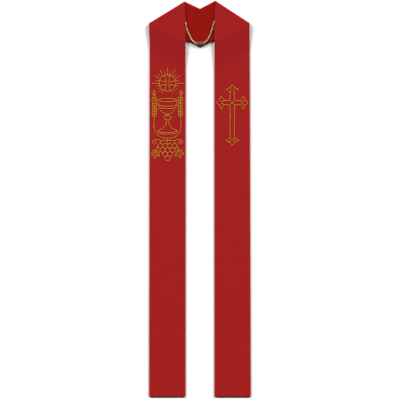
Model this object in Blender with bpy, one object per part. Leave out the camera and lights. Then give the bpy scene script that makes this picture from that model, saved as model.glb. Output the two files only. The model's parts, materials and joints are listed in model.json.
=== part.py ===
"""A clerical stole lying flat, face up, with a clasped chain across its neck.

Two long strips of interlined cloth come down the front. Each folds over at the shoulder and runs on,
wrong side up, as half of the neck band, and the halves meet in a seam at the centre back. Line
embroidery is raised on both fronts.

Metres. +Y runs from the hems to the neck, +X to the right and +Z up from the surface underneath.
The origin is on that surface, under the middle of the outline. The left half is worked out as if it lay
on the right, and then mirrored.
"""

from collections import namedtuple
from math import cos, pi, radians, sin

import bmesh
import bpy
from mathutils import Matrix, Vector
from mathutils.geometry import delaunay_2d_cdt

MM = 0.001

# The outline from above. It is laid out by hand, so the halves differ by a few millimetres.
LENGTH = 1.4018  # hems to the higher shoulder peak
HEM_Y = -0.7000
LEAN_LENGTH = 0.080  # below the peaks, over which the fronts' inner edges curve apart
FLARE_LENGTH = 0.085  # below the shoulders' outer corners, over which the outer edges spread or draw in
HEM_CORNER = 0.0045
SEAM_TOP, SEAM_BOTTOM = (0.0, 0.6738), (0.0018, 0.5377)  # ends of the centre-back seam
# (x, y) of a shoulder's peak and outer corner, then x of its front's inner edge, of its outer edge
# carried straight up to the shoulder, and of its outer edge at the hem
Lay = namedtuple("Lay", "peak corner inner outer_top outer_hem")
LAYS = {
    -1: Lay((0.0556, 0.6994), (0.1803, 0.6226), 0.0508, 0.1779, 0.1801),
    1: Lay((0.0553, HEM_Y + LENGTH), (0.1752, 0.6236), 0.0510, 0.1757, 0.1801),
}

# The layers
WALL = 0.0021  # face cloth with its interlining
LINING_WALL = 0.0007
CLEARANCE = 0.0003  # between pieces that touch
LINING_INSET = 0.0015  # from the band's edge to the lining's
FOLD_PRESS = 0.6  # depth of the pressed shoulder fold, as a share of a round one's

# Where a front comes down off the neck band
DESCENT_START = 0.006  # past the band's lower edge
DESCENT_LENGTH = 0.110

# How finely the cloth is divided
FOLD_STEPS = 10
FAN_ROWS = 5
DESCENT_ROWS = 12
BAND_ROWS = 4
COLUMNS = 6  # across a strip
EDGE_ANGLES = (90, 45, 0, -45, -90)  # round a turned edge
LEVEL_ROW_Y = 0.34  # from here down to the hem the rows run square across
LEVEL_ROWS = 6
TURNING_ROWS = 2
HEM_ANGLES = (0, 30, 55, 75, 90)  # round a hem's corner
HEM_END_HALF_WALL = 0.0002  # what is left of the rounded hem at its very end

# The chain's middle on each side, as (x, y) from the ring to the clasp
CHAIN_THICKNESS = 0.0036
CHAIN_SPACING = 0.010  # between the tube's points
CHAIN_ROUTES = {
    -1: (
        (-0.0493, 0.6182),
        (-0.0484, 0.6110),
        (-0.0465, 0.6025),
        (-0.0436, 0.5937),
        (-0.0396, 0.5842),
        (-0.0350, 0.5751),
        (-0.0308, 0.5673),
        (-0.0255, 0.5600),
        (-0.0200, 0.5550),
        (-0.0143, 0.5518),
    ),
    1: (
        (0.0491, 0.6229),
        (0.0466, 0.6154),
        (0.0445, 0.6081),
        (0.0420, 0.6000),
        (0.0388, 0.5892),
        (0.0345, 0.5783),
        (0.0295, 0.5685),
        (0.0250, 0.5622),
        (0.0208, 0.5578),
        (0.0166, 0.5546),
    ),
}
RING_CENTRES = {-1: (-0.0512, 0.6219), 1: (0.0518, 0.6266)}
RING_RADIUS = 0.0029  # to the middle of its wire
RING_WIRE = 0.0006

# The clasp: an eye on the left, and on the right a frame whose tongue hooks over the eye's bar. Each
# frame holds a thin sunk plate, with a slot for the chain's last link, and the eye's one for the tongue.
CLASP_CENTRE = (0.0010, 0.5516)
CLASP_TILT = 2.5  # degrees, right end up
CLASP_REACH = 0.0136  # centre to each outer end
CLASP_HEIGHT = 0.0076
CLASP_CORNER = 0.0015
CLASP_WIRE = 0.0005
CLASP_BAR_HALF_GAP = 0.0003  # centre to each frame's inner bar
PLATE_WALL = 0.0005
TONGUE_SLOT = (0.0021, 0.0016)  # depth from the middle of the bar, half height
LINK_SLOT = (0.0023, 0.0016)
TONGUE_WIDTH = 0.0026
TONGUE_WALL = 0.0005
TONGUE_LAST_ANGLE = 200  # degrees round the eye's bar, from the hook's bar

# The embroidery
STITCH_WIDTH = 0.0023
STITCH_HEIGHT = 0.0007
MITRE_LIMIT = 1.6
LONGEST_RUN = 16.0  # mm of straight line between points, so that it follows the cloth
CROSS_CENTRE = (0.1142, 0.3402)
EMBLEM_CENTRE = (-0.1150, 0.2970)

# name: (colour, roughness, metallic)
FINISHES = {
    "red cloth": ((0.366, 0.015, 0.015, 1), 0.75, 0.0),
    "red lining": ((0.300, 0.009, 0.006, 1), 0.60, 0.0),
    "gold thread": ((0.590, 0.300, 0.040, 1), 0.50, 0.2),
    "pale gold metal": ((0.640, 0.480, 0.220, 1), 0.30, 1.0),
}

HALF_WALL = WALL / 2
LINING_Z = WALL + CLEARANCE
FRONT_LIFT = LINING_Z + LINING_WALL + CLEARANCE  # under a front, where it lies on the band
FOLD_RADIUS = (FRONT_LIFT - WALL) / 2 + HALF_WALL  # to the middle of the wall
FOLD_Z = FRONT_LIFT - CLEARANCE - LINING_WALL / 2
FOLD_DEPTH = (FOLD_RADIUS + HALF_WALL) * FOLD_PRESS
CHAIN_Z = LINING_Z + LINING_WALL + CLEARANCE + CHAIN_THICKNESS / 2
RING_Z = FRONT_LIFT + WALL + CLEARANCE + RING_WIRE
CLASP_Z = LINING_Z + LINING_WALL + CLEARANCE + CLASP_WIRE
STITCH_Z = WALL + CLEARANCE

# One line across a strip, from the edge at the neck opening to the edge at the shoulder
Row = namedtuple("Row", "inner outer right_side half_wall", defaults=(HALF_WALL,))
# A run of embroidery, whose points are (x, y) pairs
Stroke = namedtuple("Stroke", "points closed")


def lerp(a, b, t):
    return a + (b - a) * t


# ---------------------------------------------------------------- one half, seen from above


class Half:
    """The lines that one half is drawn from, and its rows from the hem to the seam."""

    def __init__(self, side):
        self.side = side
        self.lay = LAYS[side]
        self.peak = Vector((*self.lay.peak, 0))
        fold = Vector((*self.lay.corner, 0)) - self.peak
        self.fold_width = fold.length
        self.fold_along = fold.normalized()
        self.fold_out = Vector((-self.fold_along.y, self.fold_along.x, 0))
        # The strip's edges cross the roll at a slant, and shift along it by this much each side of its middle
        shift = self.fold_out.x / self.fold_out.y * pi * FOLD_RADIUS / 2
        self.edge_shift = shift
        self.inner_top, self.outer_top = self.fold_point(shift), self.fold_point(self.fold_width + shift)
        # The band's edges, each from the roll to the seam
        seam = [Vector((x * side + CLEARANCE / 2, y, 0)) for x, y in (SEAM_TOP, SEAM_BOTTOM)]
        self.upper = (self.fold_point(-shift), seam[0])
        self.lower = (self.fold_point(self.fold_width - shift), seam[1])

    def fold_point(self, along):
        """A point on the roll's axis, this far along it from the peak."""
        return self.peak + self.fold_along * along - self.fold_out * FOLD_DEPTH

    def inner_edge(self, y):
        """x of the front's edge at the neck opening, at this y."""
        lean_from = self.peak.y - LEAN_LENGTH
        t = max(0.0, (y - lean_from) / (self.inner_top.y - lean_from))
        return lerp(self.lay.inner, self.inner_top.x, t**2)

    def outer_edge(self, y):
        """x of the front's outer edge, at this y."""
        down = (self.outer_top.y - y) / (self.outer_top.y - HEM_Y)
        near_shoulder = max(0.0, 1 - (self.outer_top.y - y) / FLARE_LENGTH)
        flare = near_shoulder**2 * (3 - 2 * near_shoulder)
        spread = (self.outer_top.x - self.lay.outer_top) * flare
        return lerp(self.lay.outer_top, self.lay.outer_hem, down) + spread

    def band_lower_y(self, x):
        """y of the band's lower edge under the front, at this x."""
        start, end = self.lower
        return lerp(end.y, start.y, (x - end.x) / (start.x - end.x))

    def crossing_y(self, edge, below_band):
        """y where a line this far below the band's lower edge meets one of the front's edges."""
        y = self.band_lower_y(self.lay.inner) - below_band
        for _ in range(4):
            y = self.band_lower_y(edge(y)) - below_band
        return y

    def lift(self, step):
        """How high the underside of a front is at one of the rows down its descent, from 0 at the top."""
        t = min(1.0, step / DESCENT_ROWS)
        return FRONT_LIFT * (1 - t) ** 2 * (1 + t)

    def lift_at(self, x, y):
        """How high the underside of a front is at a point."""
        past = (self.band_lower_y(x) - y - DESCENT_START) / DESCENT_LENGTH * DESCENT_ROWS
        step = int(max(0.0, past))
        return lerp(self.lift(step), self.lift(step + 1), max(0.0, past) - step)

    def front_row(self, inner_y, outer_y, underside, inset=0.0, half_wall=HALF_WALL):
        z = underside + HALF_WALL
        inner = Vector((self.inner_edge(inner_y) + inset, inner_y, z))
        outer = Vector((self.outer_edge(outer_y) - inset, outer_y, z))
        return Row(inner, outer, Vector((0, 0, 1)), half_wall)

    def hem_rows(self):
        rows = []
        for angle in reversed(HEM_ANGLES):
            y = HEM_Y + HEM_CORNER * (1 - sin(radians(angle)))
            inset = HEM_CORNER * (1 - cos(radians(angle)))
            short = max(0.0, HALF_WALL - (y - HEM_Y))  # inside the hem's own rounded end
            half_wall = max(HEM_END_HALF_WALL, (HALF_WALL**2 - short**2) ** 0.5)
            rows.append(self.front_row(y, y, 0, inset, half_wall))
        return rows

    def front_rows(self):
        rows = self.hem_rows()
        start = HEM_Y + HEM_CORNER
        for i in range(1, LEVEL_ROWS + 1):
            y = lerp(start, LEVEL_ROW_Y, i / LEVEL_ROWS)
            rows.append(self.front_row(y, y, 0))

        def crossing_row(below_band, underside):
            ys = [self.crossing_y(edge, below_band) for edge in (self.inner_edge, self.outer_edge)]
            return self.front_row(*ys, underside)

        bottom = DESCENT_START + DESCENT_LENGTH
        level, low = rows[-1], crossing_row(bottom, 0)
        for i in range(1, TURNING_ROWS + 1):
            t = i / (TURNING_ROWS + 1)
            rows.append(
                self.front_row(lerp(level.inner.y, low.inner.y, t), lerp(level.outer.y, low.outer.y, t), 0)
            )
        for i in range(DESCENT_ROWS + 1):
            below = lerp(bottom, DESCENT_START, i / DESCENT_ROWS)
            rows.append(crossing_row(below, self.lift(DESCENT_ROWS - i)))
        last = rows[-1]
        for i in range(1, FAN_ROWS + 1):
            t = i / (FAN_ROWS + 1)
            inner_y = lerp(last.inner.y, self.inner_top.y, t)
            outer_y = lerp(last.outer.y, self.outer_top.y, t)
            rows.append(self.front_row(inner_y, outer_y, FRONT_LIFT))
        return rows

    def fold_rows(self):
        """The roll at the shoulder, from the front round to the band."""
        rows = []
        for i in range(FOLD_STEPS + 1):
            t = i / FOLD_STEPS
            right_side = self.fold_out * sin(pi * t) * FOLD_PRESS + Vector((0, 0, cos(pi * t)))
            middle = right_side * FOLD_RADIUS + Vector((0, 0, FOLD_Z))
            shift = lerp(self.edge_shift, -self.edge_shift, t)
            inner, outer = self.fold_point(shift), self.fold_point(self.fold_width + shift)
            rows.append(Row(inner + middle, outer + middle, right_side))
        return rows

    def band_rows(self):
        rows = []
        z = Vector((0, 0, HALF_WALL))
        for i in range(1, BAND_ROWS + 1):
            t = i / BAND_ROWS
            rows.append(Row(lerp(*self.upper, t) + z, lerp(*self.lower, t) + z, Vector((0, 0, -1))))
        return rows

    def lining_outline(self):
        """The corners of the lining: upper edge from the seam to the roll, then lower edge back."""
        ends = []
        for (start, end), inset in ((self.upper, LINING_INSET), (self.lower, -LINING_INSET)):
            way = (end - start).normalized()
            aside = Vector((-way.y, way.x, 0))  # towards the band's lower edge
            near_roll = start + aside * inset + way * (CLEARANCE + HALF_WALL) / self.fold_along.x
            ends.append((near_roll + way * ((near_roll.x - end.x) / -way.x), near_roll))
        (upper_seam, upper_roll), (lower_seam, lower_roll) = ends
        return [upper_seam, upper_roll, lower_roll, lower_seam]


def section(row):
    """The points round the wall along a row: right side outwards, outer edge, wrong side, inner edge."""
    outward = (row.outer - row.inner).normalized() * HALF_WALL
    wall = row.right_side * row.half_wall
    first, last = row.inner + outward, row.outer - outward
    turns = [(outward * cos(radians(a)), wall * sin(radians(a))) for a in EDGE_ANGLES]
    columns = [lerp(first, last, i / COLUMNS) for i in range(1, COLUMNS)]
    right_side = [p + wall for p in columns]
    outer_edge_points = [last + out + up for out, up in turns]
    wrong_side = [p - wall for p in reversed(columns)]
    inner_edge_points = [first - out + up for out, up in reversed(turns)]
    return right_side + outer_edge_points + wrong_side + inner_edge_points


# ---------------------------------------------------------------- meshes and objects


def finish(name):
    if name in bpy.data.materials:
        return bpy.data.materials[name]
    colour, roughness, metallic = FINISHES[name]
    material = bpy.data.materials.new(name)
    material.use_nodes = True
    shader = material.node_tree.nodes["Principled BSDF"]
    shader.inputs["Base Color"].default_value = colour
    shader.inputs["Roughness"].default_value = roughness
    shader.inputs["Metallic"].default_value = metallic
    material.diffuse_color = colour
    return material


def new_object(name, data, finish_name, smooth_angle=None):
    data.materials.append(finish(finish_name))
    made = bpy.data.objects.new(name, data)
    bpy.context.collection.objects.link(made)
    if smooth_angle:
        data.shade_smooth()
        data.set_sharp_from_angle(angle=radians(smooth_angle))
    return made


def mesh_of(name, points, faces):
    """A mesh whose faces are turned to point out."""
    mesh = bpy.data.meshes.new(name)
    mesh.from_pydata([tuple(p) for p in points], [], faces)
    shape = bmesh.new()
    shape.from_mesh(mesh)
    bmesh.ops.recalc_face_normals(shape, faces=shape.faces)
    shape.to_mesh(mesh)
    shape.free()
    return mesh


def skinned(name, rings, closed=False):
    """A mesh through rings of as many points each, capped at both ends or closed on itself."""
    count = len(rings[0])
    faces = []
    for i in range(len(rings) if closed else len(rings) - 1):
        here, there = i * count, (i + 1) % len(rings) * count
        for k in range(count):
            after = (k + 1) % count
            faces.append((here + k, here + after, there + after, there + k))
    if not closed:
        faces.append(tuple(range(count)))
        faces.append(tuple(range((len(rings) - 1) * count, len(rings) * count)))
    return mesh_of(name, [p for ring in rings for p in ring], faces)


def mirrored_ring(ring):
    return [Vector((-p.x, p.y, p.z)) for p in ring]


def side_name(side):
    return "right" if side > 0 else "left"


def stole_half(half):
    rings = [section(row) for row in half.front_rows() + half.fold_rows() + half.band_rows()]
    if half.side < 0:
        rings = [mirrored_ring(ring) for ring in rings]
    name = f"stole_half_{side_name(half.side)}"
    return new_object(name, skinned(name, rings), "red cloth", smooth_angle=50)


def neck_lining(half):
    """The lining over the band, from the seam to just short of the roll."""
    outline = half.lining_outline()
    if half.side < 0:
        outline = mirrored_ring(outline)
    name = f"neck_lining_{side_name(half.side)}"
    low, high = Vector((0, 0, LINING_Z)), Vector((0, 0, LINING_Z + LINING_WALL))
    mesh = skinned(name, [[p + low for p in outline], [p + high for p in outline]])
    return new_object(name, mesh, "red lining")


# ---------------------------------------------------------------- the chain and its clasp


def smooth_route(route, spacing):
    """Points this far apart on a smooth curve through the route's points (Catmull-Rom)."""
    points = [Vector((x, y, 0)) for x, y in route]
    points = [points[0] * 2 - points[1]] + points + [points[-1] * 2 - points[-2]]
    fine = []
    for before, a, b, after in zip(points, points[1:], points[2:], points[3:]):
        for i in range(10):
            t = i / 10
            fine.append(
                0.5
                * (
                    2 * a
                    + (b - before) * t
                    + (2 * before - 5 * a + 4 * b - after) * t**2
                    + (3 * a - before - 3 * b + after) * t**3
                )
            )
    fine.append(points[-2])
    runs = [(b - a).length for a, b in zip(fine, fine[1:])]
    count = max(2, round(sum(runs) / spacing))
    chosen, walked, i = [fine[0]], 0.0, 0
    for k in range(1, count):
        wanted = sum(runs) * k / count
        while walked + runs[i] < wanted:
            walked += runs[i]
            i += 1
        chosen.append(lerp(fine[i], fine[i + 1], (wanted - walked) / runs[i]))
    return chosen + [fine[-1]]


def neck_chain(side):
    name = f"neck_chain_{side_name(side)}"
    points = smooth_route(CHAIN_ROUTES[side], CHAIN_SPACING)
    curve = bpy.data.curves.new(name, "CURVE")
    curve.dimensions = "3D"
    curve.bevel_depth = CHAIN_THICKNESS / 2
    curve.bevel_resolution = 2
    curve.use_fill_caps = True
    spline = curve.splines.new("POLY")
    spline.points.add(len(points) - 1)
    for made, point in zip(spline.points, points):
        made.co = (point.x, point.y, CHAIN_Z, 1)
    return new_object(name, curve, "pale gold metal")


def wire_loop(name, path, wire, sides=8):
    """A closed loop of round wire in a level plane, along a path of points."""
    rings = []
    for i, point in enumerate(path):
        ahead, behind = path[(i + 1) % len(path)], path[i - 1]
        forward = (ahead - behind).normalized()
        outward = Vector((forward.y, -forward.x, 0))
        ring = []
        for k in range(sides):
            angle = 2 * pi * (k + 0.5) / sides
            ring.append(point + outward * wire * cos(angle) + Vector((0, 0, wire * sin(angle))))
        rings.append(ring)
    return skinned(name, rings, closed=True)


def arc(centre, radius, first, last, steps, squash=1.0):
    """(x, y) points round a centre, from one angle to another in degrees; squash scales their height."""
    angles = [radians(lerp(first, last, i / steps)) for i in range(steps + 1)]
    return [(centre[0] + radius * cos(a), centre[1] + radius * squash * sin(a)) for a in angles]


def chain_ring(side):
    name = f"chain_ring_{side_name(side)}"
    path = [Vector((x, y, RING_Z)) for x, y in arc(RING_CENTRES[side], RING_RADIUS, 0, 360, 20)[:-1]]
    return new_object(name, wire_loop(name, path, RING_WIRE), "pale gold metal", smooth_angle=60)


def clasp_placed(points):
    """Points given from the clasp's centre, set in their place."""
    turn = Matrix.Rotation(radians(CLASP_TILT), 3, "Z")
    return [turn @ p + Vector((*CLASP_CENTRE, CLASP_Z)) for p in points]


def clasp_arcs():
    """The corners of the right frame's middle line: far top, near top, near bottom, far bottom."""
    near, far = CLASP_BAR_HALF_GAP + CLASP_WIRE, CLASP_REACH - CLASP_WIRE
    half_height = CLASP_HEIGHT / 2 - CLASP_WIRE
    corners = []
    for turn, (x, y) in enumerate(((far, 1), (near, 1), (near, -1), (far, -1))):
        way = 1 if x == far else -1
        centre = (x - way * CLASP_CORNER, y * (half_height - CLASP_CORNER))
        corners.append(arc(centre, CLASP_CORNER, 90 * turn, 90 * turn + 90, 4))
    return corners


def slot(x, way, size):
    """The corners of a slot in a plate's edge at x, cut towards +x where way is 1, else towards -x."""
    depth, half = size
    return [(x, way * half), (x + way * depth, way * half), (x + way * depth, -way * half), (x, -way * half)]


def clasp_frame(name, side):
    """Half of the clasp: an oblong loop of wire."""
    path = clasp_placed([Vector((x * side, y, 0)) for corner in clasp_arcs() for x, y in corner])
    return new_object(name, wire_loop(name, path, CLASP_WIRE), "pale gold metal", smooth_angle=60)


def clasp_plate(name, side, tongue_slot):
    """The sunk plate in a frame, whose edge is hidden in the wire."""
    far_top, near_top, near_bottom, far_bottom = clasp_arcs()
    near, far = near_top[-1][0], far_top[0][0]
    near_slot = slot(near, 1, TONGUE_SLOT) if tongue_slot else []
    outline = far_top + near_top + near_slot + near_bottom + far_bottom + slot(far, -1, LINK_SLOT)
    z = PLATE_WALL / 2
    rings = [clasp_placed([Vector((x * side, y, height)) for x, y in outline]) for height in (-z, z)]
    return new_object(name, skinned(name, rings), "pale gold metal")


def clasp_tongue(name):
    """The tongue, which arches from the hook's bar over the eye's and down behind it."""
    bar = (-CLASP_BAR_HALF_GAP - CLASP_WIRE, 0)
    inside = CLASP_WIRE + CLEARANCE
    profile = arc(bar, inside + TONGUE_WALL, 0, TONGUE_LAST_ANGLE, 12)
    profile += reversed(arc(bar, inside, 0, TONGUE_LAST_ANGLE, 12))
    ends = (-TONGUE_WIDTH / 2, TONGUE_WIDTH / 2)
    rings = [clasp_placed([Vector((x, y, z)) for x, z in profile]) for y in ends]
    return new_object(name, skinned(name, rings), "pale gold metal")


def united(whole, *parts):
    for part in parts:
        part.hide_render = True
        part.display_type = "WIRE"
        join = whole.modifiers.new(part.name, "BOOLEAN")
        join.operation = "UNION"
        join.object = part
    return whole


def clasp_eye():
    return united(clasp_frame("clasp_eye", -1), clasp_plate("eye_plate", -1, tongue_slot=True))


def clasp_hook():
    plate = clasp_plate("hook_plate", 1, tongue_slot=False)
    return united(clasp_frame("clasp_hook", 1), plate, clasp_tongue("hook_tongue"))


# ---------------------------------------------------------------- drawing with runs of (x, y) points, in mm


def between(a, b, t):
    return (lerp(a[0], b[0], t), lerp(a[1], b[1], t))


def on_bend(start, control, end, t):
    """A point this share of the way along a quadratic curve."""
    return between(between(start, control, t), between(control, end, t), t)


def bend(start, control, end, steps):
    """A quadratic curve."""
    return [on_bend(start, control, end, i / steps) for i in range(steps + 1)]


def joined(*runs):
    """Runs end to end, each starting where the one before ends."""
    whole = list(runs[0])
    for run in runs[1:]:
        whole += run[1:]
    return whole


def polar(centre, radius, angle):
    return (centre[0] + radius * cos(radians(angle)), centre[1] + radius * sin(radians(angle)))


def flipped(strokes):
    """The strokes mirrored in the line x = 0."""
    return [Stroke([(-x, y) for x, y in reversed(stroke.points)], stroke.closed) for stroke in strokes]


def both_sides(strokes):
    return strokes + flipped(strokes)


def closed_arc(centre, radius, steps, squash=1.0):
    return Stroke(arc(centre, radius, 0, 360, steps, squash)[:-1], True)


def almond(base, angle, length=15.0, bulge=6.5):
    """A pointed grain or petal that grows from base."""
    tip = polar(base, length, angle)
    middle = between(base, tip, 0.5)
    there = bend(base, polar(middle, bulge, angle + 90), tip, 3)
    back = bend(tip, polar(middle, bulge, angle - 90), base, 3)
    return Stroke(joined(there, back)[:-1], True)


# The cross. Its arms end in three points, and every size is in mm from the crossing.
ARM_HALF = 7.7
CROSS_ARMS = ((90, 63.4), (0, 55.8), (270, 151.5), (180, 55.8))  # direction in degrees, length
LOBE_START = 28.0  # before the tip, where the side point leaves the arm
LOBE_TIP = (17.3, 22.8)  # before the tip, and out from the arm's middle
NOTCH = (10.8, 8.6)  # the same, between the side point and the end point
LOBE_DIP = 8.0  # control of the curve that closes a side point, in from the arm's edge
KNOT_REACH, KNOT_HEART = 4.6, 2.4


def turned(points, angle):
    """Points given as (along, left of) a direction, in x and y."""
    return [polar(polar((0, 0), along, angle), left, angle + 90) for along, left in points]


def cross():
    outline, closings = [], []
    for angle, length in CROSS_ARMS:
        start, lobe = (length - LOBE_START, ARM_HALF), (length - LOBE_TIP[0], LOBE_TIP[1])
        notch, tip = (length - NOTCH[0], NOTCH[1]), (length, 0.0)
        side = joined(
            bend(start, (start[0] + 5, 10.5), lobe, 4),
            bend(lobe, (lobe[0] + 5, 15), notch, 4),
            bend(notch, (notch[0] + 5, 5.6), tip, 4),
        )
        whole = [(ARM_HALF, ARM_HALF)] + side + [(along, -left) for along, left in reversed(side[:-1])]
        outline += turned(whole, angle)
        closing = bend(start, (between(start, notch, 0.5)[0], ARM_HALF - LOBE_DIP), notch, 5)
        for way in (1, -1):
            closings.append(Stroke(turned([(along, way * left) for along, left in closing], angle), False))
    return [Stroke(outline, True)] + closings


def cross_knot():
    """A small saltire with a diamond at its heart."""
    reach = KNOT_REACH
    arms = [Stroke([(-reach, -way * reach), (reach, way * reach)], False) for way in (1, -1)]
    return arms + [closed_arc((0, 0), KNOT_HEART, 4)]


# The emblem: a host in its rays over a chalice, between wheat ears, above a vine. In mm from its middle.
HOST_CENTRE = (0.0, 112.0)
HOST_RADIUS = 29.0
RAY_COUNT = 24
LONG_RAY, SHORT_RAY, SHADED_RAY = 26.0, 15.0, 10.0
RAY_FREE_ANGLE = 28  # each side of straight down
SHADED_ANGLE = 85  # each side of straight down, where the ears come close
CUP_RIM = (0.0, 52.0)
CUP_HALF = 33.0
FOOT_HALF = 34.0
KNOP_CENTRE = (0.0, -10.0)
STALK_FOOT, STALK_BEND = (-3.4, -83.0), (-58.0, -82.0)
EAR_FOOT, EAR_BEND, EAR_TOP = (-46.0, -8.0), (-43.0, 26.0), (-47.0, 58.0)
GRAIN_PAIRS = 7
GRAPE_RADIUS = 8.5
GRAPE_ROWS = ((4, -110.0), (3, -124.7), (2, -139.4), (1, -154.1))  # grapes in the row, its height
LEAF_CENTRE = (-41.0, -133.0)
LEAF_SIZE = 21.0
LEAF_HEADING = 258
LEAF_POINTS = ((-118, 0.62), (-58, 0.88), (0, 1.0), (58, 0.88), (118, 0.62))  # turn, share of its size
LEAF_STALK_END = (-39.7, -126.8)
VINE_TOP = (0.0, -80.0)
VINE_BRANCH = ((0.0, -91.0), (-28.0, -84.0), LEAF_STALK_END)
TENDRIL_CENTRE = (-46.0, -97.0)


def host():
    strokes = [closed_arc(HOST_CENTRE, HOST_RADIUS, 32)]
    for k in range(RAY_COUNT):
        angle = 360 * k / RAY_COUNT
        from_down = abs(angle - 270)
        from_down = min(from_down, 360 - from_down)
        if from_down < RAY_FREE_ANGLE:
            continue
        length = SHADED_RAY if from_down < SHADED_ANGLE else (SHORT_RAY, LONG_RAY)[k % 2 == 0]
        ends = [polar(HOST_CENTRE, HOST_RADIUS, angle), polar(HOST_CENTRE, HOST_RADIUS + length, angle)]
        strokes.append(Stroke(ends, False))
    for k in range(4):
        root = polar(HOST_CENTRE, 5.7, 90 * k + 45)
        for turn in (19, 71):
            strokes.append(Stroke([root, polar(HOST_CENTRE, HOST_RADIUS, 90 * k + turn)], False))
    return strokes


def chalice():
    bowl = bend((-CUP_HALF, CUP_RIM[1]), (-32, 10), (-6, 3), 7)
    neck = [(-6, 3), (-5, -4)]
    stem = joined([(-4.5, -16), (-4.5, -28)], bend((-4.5, -28), (-6, -46), (-FOOT_HALF, -56), 6))
    foot_side = [(-FOOT_HALF, -56), (-FOOT_HALF - 0.6, -61.5)]
    sides = both_sides([Stroke(run, False) for run in (bowl, neck, stem, foot_side)])
    bands = [
        Stroke([(-6, 3), (6, 3)], False),
        Stroke(arc((0, 36), 30.5, 180, 360, 9, squash=0.18), False),
        Stroke(arc((0, 27), 27.5, 180, 360, 9, squash=0.18), False),
        Stroke(arc((0, -56), FOOT_HALF, 180, 360, 9, squash=0.2), False),
        Stroke(arc((0, -61.5), FOOT_HALF + 0.6, 180, 360, 9, squash=0.2), False),
    ]
    return sides + bands + [closed_arc(CUP_RIM, CUP_HALF, 24, 0.18), closed_arc(KNOP_CENTRE, 13, 16, 0.58)]


def wheat_ear():
    """The left ear, with its stalk."""
    stalk = bend(STALK_FOOT, STALK_BEND, EAR_FOOT, 7)
    strokes = [Stroke(joined(stalk, bend(EAR_FOOT, EAR_BEND, EAR_TOP, 7)), False)]
    for k in range(GRAIN_PAIRS):
        root = on_bend(EAR_FOOT, EAR_BEND, EAR_TOP, k / GRAIN_PAIRS)
        strokes += [almond(root, angle) for angle in (122, 62)]
    strokes.append(almond(EAR_TOP, 94))
    for angle, length in ((80, 27), (94, 32), (108, 26)):
        strokes.append(Stroke([polar(EAR_TOP, 9, angle), polar(EAR_TOP, length, angle)], False))
    return strokes


def vine_leaf():
    """The left leaf: five points with hollows between them, and veins from the stalk's end."""
    outline, veins = [LEAF_STALK_END], []
    for k, (turn, share) in enumerate(LEAF_POINTS):
        reach = share * LEAF_SIZE
        tip = polar(LEAF_CENTRE, reach, LEAF_HEADING + turn)
        hollow = LEAF_STALK_END
        if k + 1 < len(LEAF_POINTS):
            half_way = (turn + LEAF_POINTS[k + 1][0]) / 2
            hollow = polar(LEAF_CENTRE, 0.48 * LEAF_SIZE, LEAF_HEADING + half_way)
        rise = polar(LEAF_CENTRE, 0.8 * reach, LEAF_HEADING + turn - 22)
        fall = polar(LEAF_CENTRE, 0.8 * reach, LEAF_HEADING + turn + 22)
        outline = joined(outline, bend(outline[-1], rise, tip, 3), bend(tip, fall, hollow, 3))
        if abs(turn) < 90:
            vein_end = polar(LEAF_CENTRE, 0.66 * reach, LEAF_HEADING + turn)
            veins.append(Stroke([LEAF_STALK_END, vein_end], False))
    return [Stroke(outline[:-1], True)] + veins + [Stroke(bend(*VINE_BRANCH, 7), False)]


def tendril():
    """The left tendril, which leaves the vine and curls in."""
    steps = 12
    curl = [polar(TENDRIL_CENTRE, lerp(8.5, 2.5, i / steps), 90 + 430 * i / steps) for i in range(steps + 1)]
    root = on_bend(*VINE_BRANCH, 0.4)
    return [Stroke(joined(bend(root, (-32, -86), curl[0], 4), curl), False)]


def grapes():
    bunch = []
    for count, height in GRAPE_ROWS:
        for k in range(count):
            bunch.append(closed_arc(((2 * k - count + 1) * GRAPE_RADIUS, height), GRAPE_RADIUS, 12))
    return bunch


def vine():
    stem = Stroke([VINE_TOP, (0, -92), (-1, -104)], False)
    return grapes() + [stem] + both_sides(vine_leaf() + tendril())


# ---------------------------------------------------------------- raised stitching


def divided(stroke):
    """The stroke's points, with more along its long straight runs."""
    ends = stroke.points[1:] + (stroke.points[:1] if stroke.closed else [])
    points = []
    for a, b in zip(stroke.points, ends):
        steps = max(1, round((Vector(b) - Vector(a)).length / LONGEST_RUN))
        points += [between(a, b, i / steps) for i in range(steps)]
    return points if stroke.closed else points + [stroke.points[-1]]


def rails(stroke):
    """The points left and right of each point of a stroke, mitred."""
    points = [Vector(p) * MM for p in divided(stroke)]
    last = len(points) - 1
    pairs = []
    for i, point in enumerate(points):
        behind = points[i - 1] if i or stroke.closed else None
        ahead = points[(i + 1) % len(points)] if i < last or stroke.closed else None
        ways = [(b - a).normalized() for a, b in ((behind, point), (point, ahead)) if a and b]
        middle = sum(ways, Vector((0, 0))).normalized()
        stretch = min(MITRE_LIMIT, 1 / max(0.1, middle.dot(ways[0])))
        aside = Vector((-middle.y, middle.x)) * STITCH_WIDTH / 2 * stretch
        if len(ways) == 1:  # an end stands out by a quarter of the line's width
            point = point + middle * STITCH_WIDTH / 4 * (1 if behind else -1)
        pairs.append((point + aside, point - aside))
    return pairs


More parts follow.
